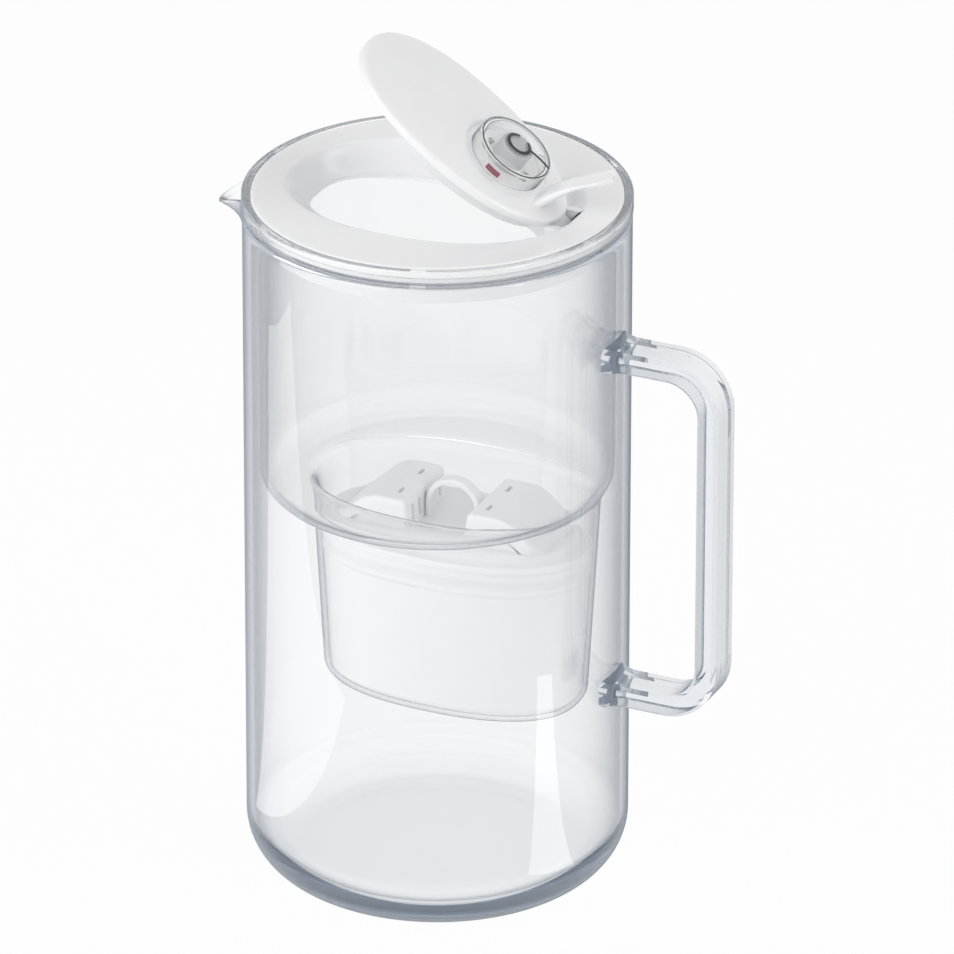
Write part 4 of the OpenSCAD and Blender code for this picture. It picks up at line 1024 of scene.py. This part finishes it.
def granules(name, grain_mm):
    """Carbon and resin beads: cells of the grain's real size, dark carbon and pale resin."""
    made, tree = material(name)
    place = add(tree, "ShaderNodeTexCoord")
    cells = add(tree, "ShaderNodeTexVoronoi", inputs={
        "Vector": place.outputs["Object"], "Scale": 1 / (grain_mm * MM)})
    tone = add(tree, "ShaderNodeMix", {"data_type": "RGBA"}, {
        0: cells.outputs["Color"], 6: colour("#2b2b2e"), 7: colour("#d8cfb8")})
    heaped = add(tree, "ShaderNodeBump", inputs={"Height": cells.outputs["Distance"], "Distance": 0.4 * MM})
    shader = add(tree, "ShaderNodeBsdfPrincipled", inputs={
        "Base Color": tone.outputs[2], "Roughness": 0.7, "Normal": heaped.outputs["Normal"]})
    add(tree, "ShaderNodeOutputMaterial", inputs={"Surface": shader.outputs["BSDF"]})
    return made


steel = drawn_steel("drawn_stainless_steel")
nylon = woven_screen("woven_nylon", 0.6)
media = granules("carbon_and_resin", 0.9)
finishes = {"hinge_pin": steel, "dial_clip": steel, "upper_screen": nylon, "lower_screen": nylon,
            "cartridge_media": media, "hinge_cover": satin_white, "rim_seal": clear_silicone}
for name, finish in finishes.items():
    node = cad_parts[name]
    node.data.materials.clear()
    node.data.materials.append(finish)
print("kept from the frame:", sorted(finishes))

# %% [markdown]
# The set. The floor is a wide disc of white paper that mostly glows for the camera, with a share
# of real paper left in it, so the pitcher still stands in a faint shadow. Glass shows what is
# behind and beside it, so it sees the same white floor and world. For the light that falls on
# the pitcher, floor and world are dimmer: they fill its shadows and the lamps shape it.

# %% Floor
FLOOR_R, FLOOR_DROP, SEEN_GLOW, LIT_GLOW = 1500.0, -0.2, 0.95, 0.6
WHITE = (1, 1, 1, 1)


def looked_at(tree):
    """1 for a ray from the camera, or one that glass or gloss sends on, and 0 for any other."""
    path = add(tree, "ShaderNodeLightPath")
    return any_of(tree, path.outputs["Is Camera Ray"], path.outputs["Is Glossy Ray"],
                  path.outputs["Is Transmission Ray"])


floor_ring = at_height(round_line * FLOOR_R, FLOOR_DROP)
floor = as_object("floor", (floor_ring, [list(range(AROUND))]))
floor_paint, tree = material("white_paper_floor")
glow = add(tree, "ShaderNodeMapRange", inputs={
    "Value": looked_at(tree), "To Min": LIT_GLOW, "To Max": SEEN_GLOW})
paper = add(tree, "ShaderNodeBsdfDiffuse", inputs={"Color": colour("#f0f0f1")})
bright = add(tree, "ShaderNodeEmission", inputs={"Color": WHITE, "Strength": 1.0})
mixed = add(tree, "ShaderNodeMixShader", inputs={
    0: glow.outputs["Result"], 1: paper.outputs["BSDF"], 2: bright.outputs["Emission"]})
add(tree, "ShaderNodeOutputMaterial", inputs={"Surface": mixed.outputs["Shader"]})
floor.data.materials.append(floor_paint)
print("floor:", floor_paint.name, "radius", FLOOR_R * MM, "m")

# %% World
SKY_LEVEL, SKY_ZENITH = 0.46, 0.44
world = bpy.data.worlds.new("studio")
bpy.context.scene.world = world
world.use_nodes = True
tree = world.node_tree
tree.nodes.clear()
direction = add(tree, "ShaderNodeTexCoord")
height = add(tree, "ShaderNodeSeparateXYZ", inputs={0: direction.outputs["Generated"]})
sky_light = add(tree, "ShaderNodeMapRange", inputs={
    "Value": height.outputs["Z"], "To Min": SKY_LEVEL, "To Max": SKY_ZENITH})
strength = add(tree, "ShaderNodeMix", {"data_type": "FLOAT"}, {
    0: looked_at(tree), 2: sky_light.outputs["Result"], 3: 1.0})
sky = add(tree, "ShaderNodeBackground", inputs={"Color": WHITE, "Strength": strength.outputs[0]})
add(tree, "ShaderNodeOutputWorld", inputs={"Surface": sky.outputs["Background"]})
print("world light:", SKY_LEVEL, "at the horizon,", SKY_ZENITH, "overhead")

# %% [markdown]
# Light. One wide soft box hangs over the back, one stands at the front left and lights the faces
# that look that way, one hangs at the top right, and a tall strip stands at the right. The two
# long highlights on the glass need something else. The camera looks down, so an upright wall
# mirrors the floor and not a lamp at its own height. Two bright cards lie on the floor for
# that, one on each side, and face up. The brightness of each is written as the radiance of
# its face, times its area and pi for its power.

# %% Soft boxes
def soft_box(name, place, look_at, width, height, radiance):
    """An area lamp in metres that faces a point. A face of radiance L gives pi L per square metre."""
    lamp = bpy.data.lights.new(name, "AREA")
    lamp.shape, lamp.size, lamp.size_y = "RECTANGLE", width, height
    lamp.energy = radiance * math.pi * width * height
    box = bpy.data.objects.new(name, lamp)
    box.location = place
    x, y, z = np.array(place, float) - np.array(look_at, float)
    box.rotation_euler = (math.atan2(math.hypot(x, y), z), 0, math.atan2(x, -y))
    bpy.context.scene.collection.objects.link(box)
    box.visible_camera, box.visible_transmission = False, False
    print(f"{name}: {lamp.energy:.1f} W")


soft_box("top_box", (-0.35, 0.7, 1.5), (0, 0, 0.2), 1.3, 1.0, 0.5)
soft_box("front_left_box", (-0.75, -1.35, 0.75), (0, 0, 0.15), 1.6, 1.5, 2.1)
soft_box("top_right_box", (1.1, 0.2, 1.3), (0, 0, 0.25), 1.0, 1.0, 1.9)
soft_box("right_strip", (1.25, -0.45, 0.55), (0, 0, 0.12), 0.18, 0.9, 4.0)
soft_box("right_card", (0.175, -0.027, 0.001), (0.175, -0.027, 1), 0.16, 0.04, 2.4)
soft_box("left_card", (-0.31, -0.12, 0.001), (-0.31, -0.12, 1), 0.42, 0.2, 1.45)

# %% [markdown]
# The camera stands far off with a long lens, as product cameras do, so the pitcher's sides run
# parallel. Its direction and shift were found from the ellipses of the rim and base. Light has
# to pass many faces of glass and plastic before it comes out, so it may bounce 24 times.

# %% Camera
AZIMUTH, ELEVATION, DISTANCE, AIM_Z = math.radians(25), math.radians(25.894), 4.045, 0.1258
SENSOR_MM, LENS_MM, SHIFT_X, SHIFT_Y, BOUNCES = 36.0, 432.94, 0.0415, 0.0633, 24

camera_data = bpy.data.cameras.new("camera")
camera_data.sensor_width, camera_data.lens = SENSOR_MM, LENS_MM
camera_data.shift_x, camera_data.shift_y = SHIFT_X, SHIFT_Y
camera_data.clip_end = 50.0
camera = bpy.data.objects.new("camera", camera_data)
bpy.context.scene.collection.objects.link(camera)
camera.location = (DISTANCE * math.sin(AZIMUTH) * math.cos(ELEVATION),
                   -DISTANCE * math.cos(AZIMUTH) * math.cos(ELEVATION),
                   AIM_Z + DISTANCE * math.sin(ELEVATION))
camera.rotation_euler = (math.pi / 2 - ELEVATION, 0, AZIMUTH)
bpy.context.scene.camera = camera
bpy.context.scene.view_settings.view_transform = "Standard"
for kind in ("max_bounces", "transmission_bounces", "glossy_bounces", "transparent_max_bounces"):
    setattr(bpy.context.scene.cycles, kind, BOUNCES)
print("camera at", [round(v, 3) for v in camera.location])
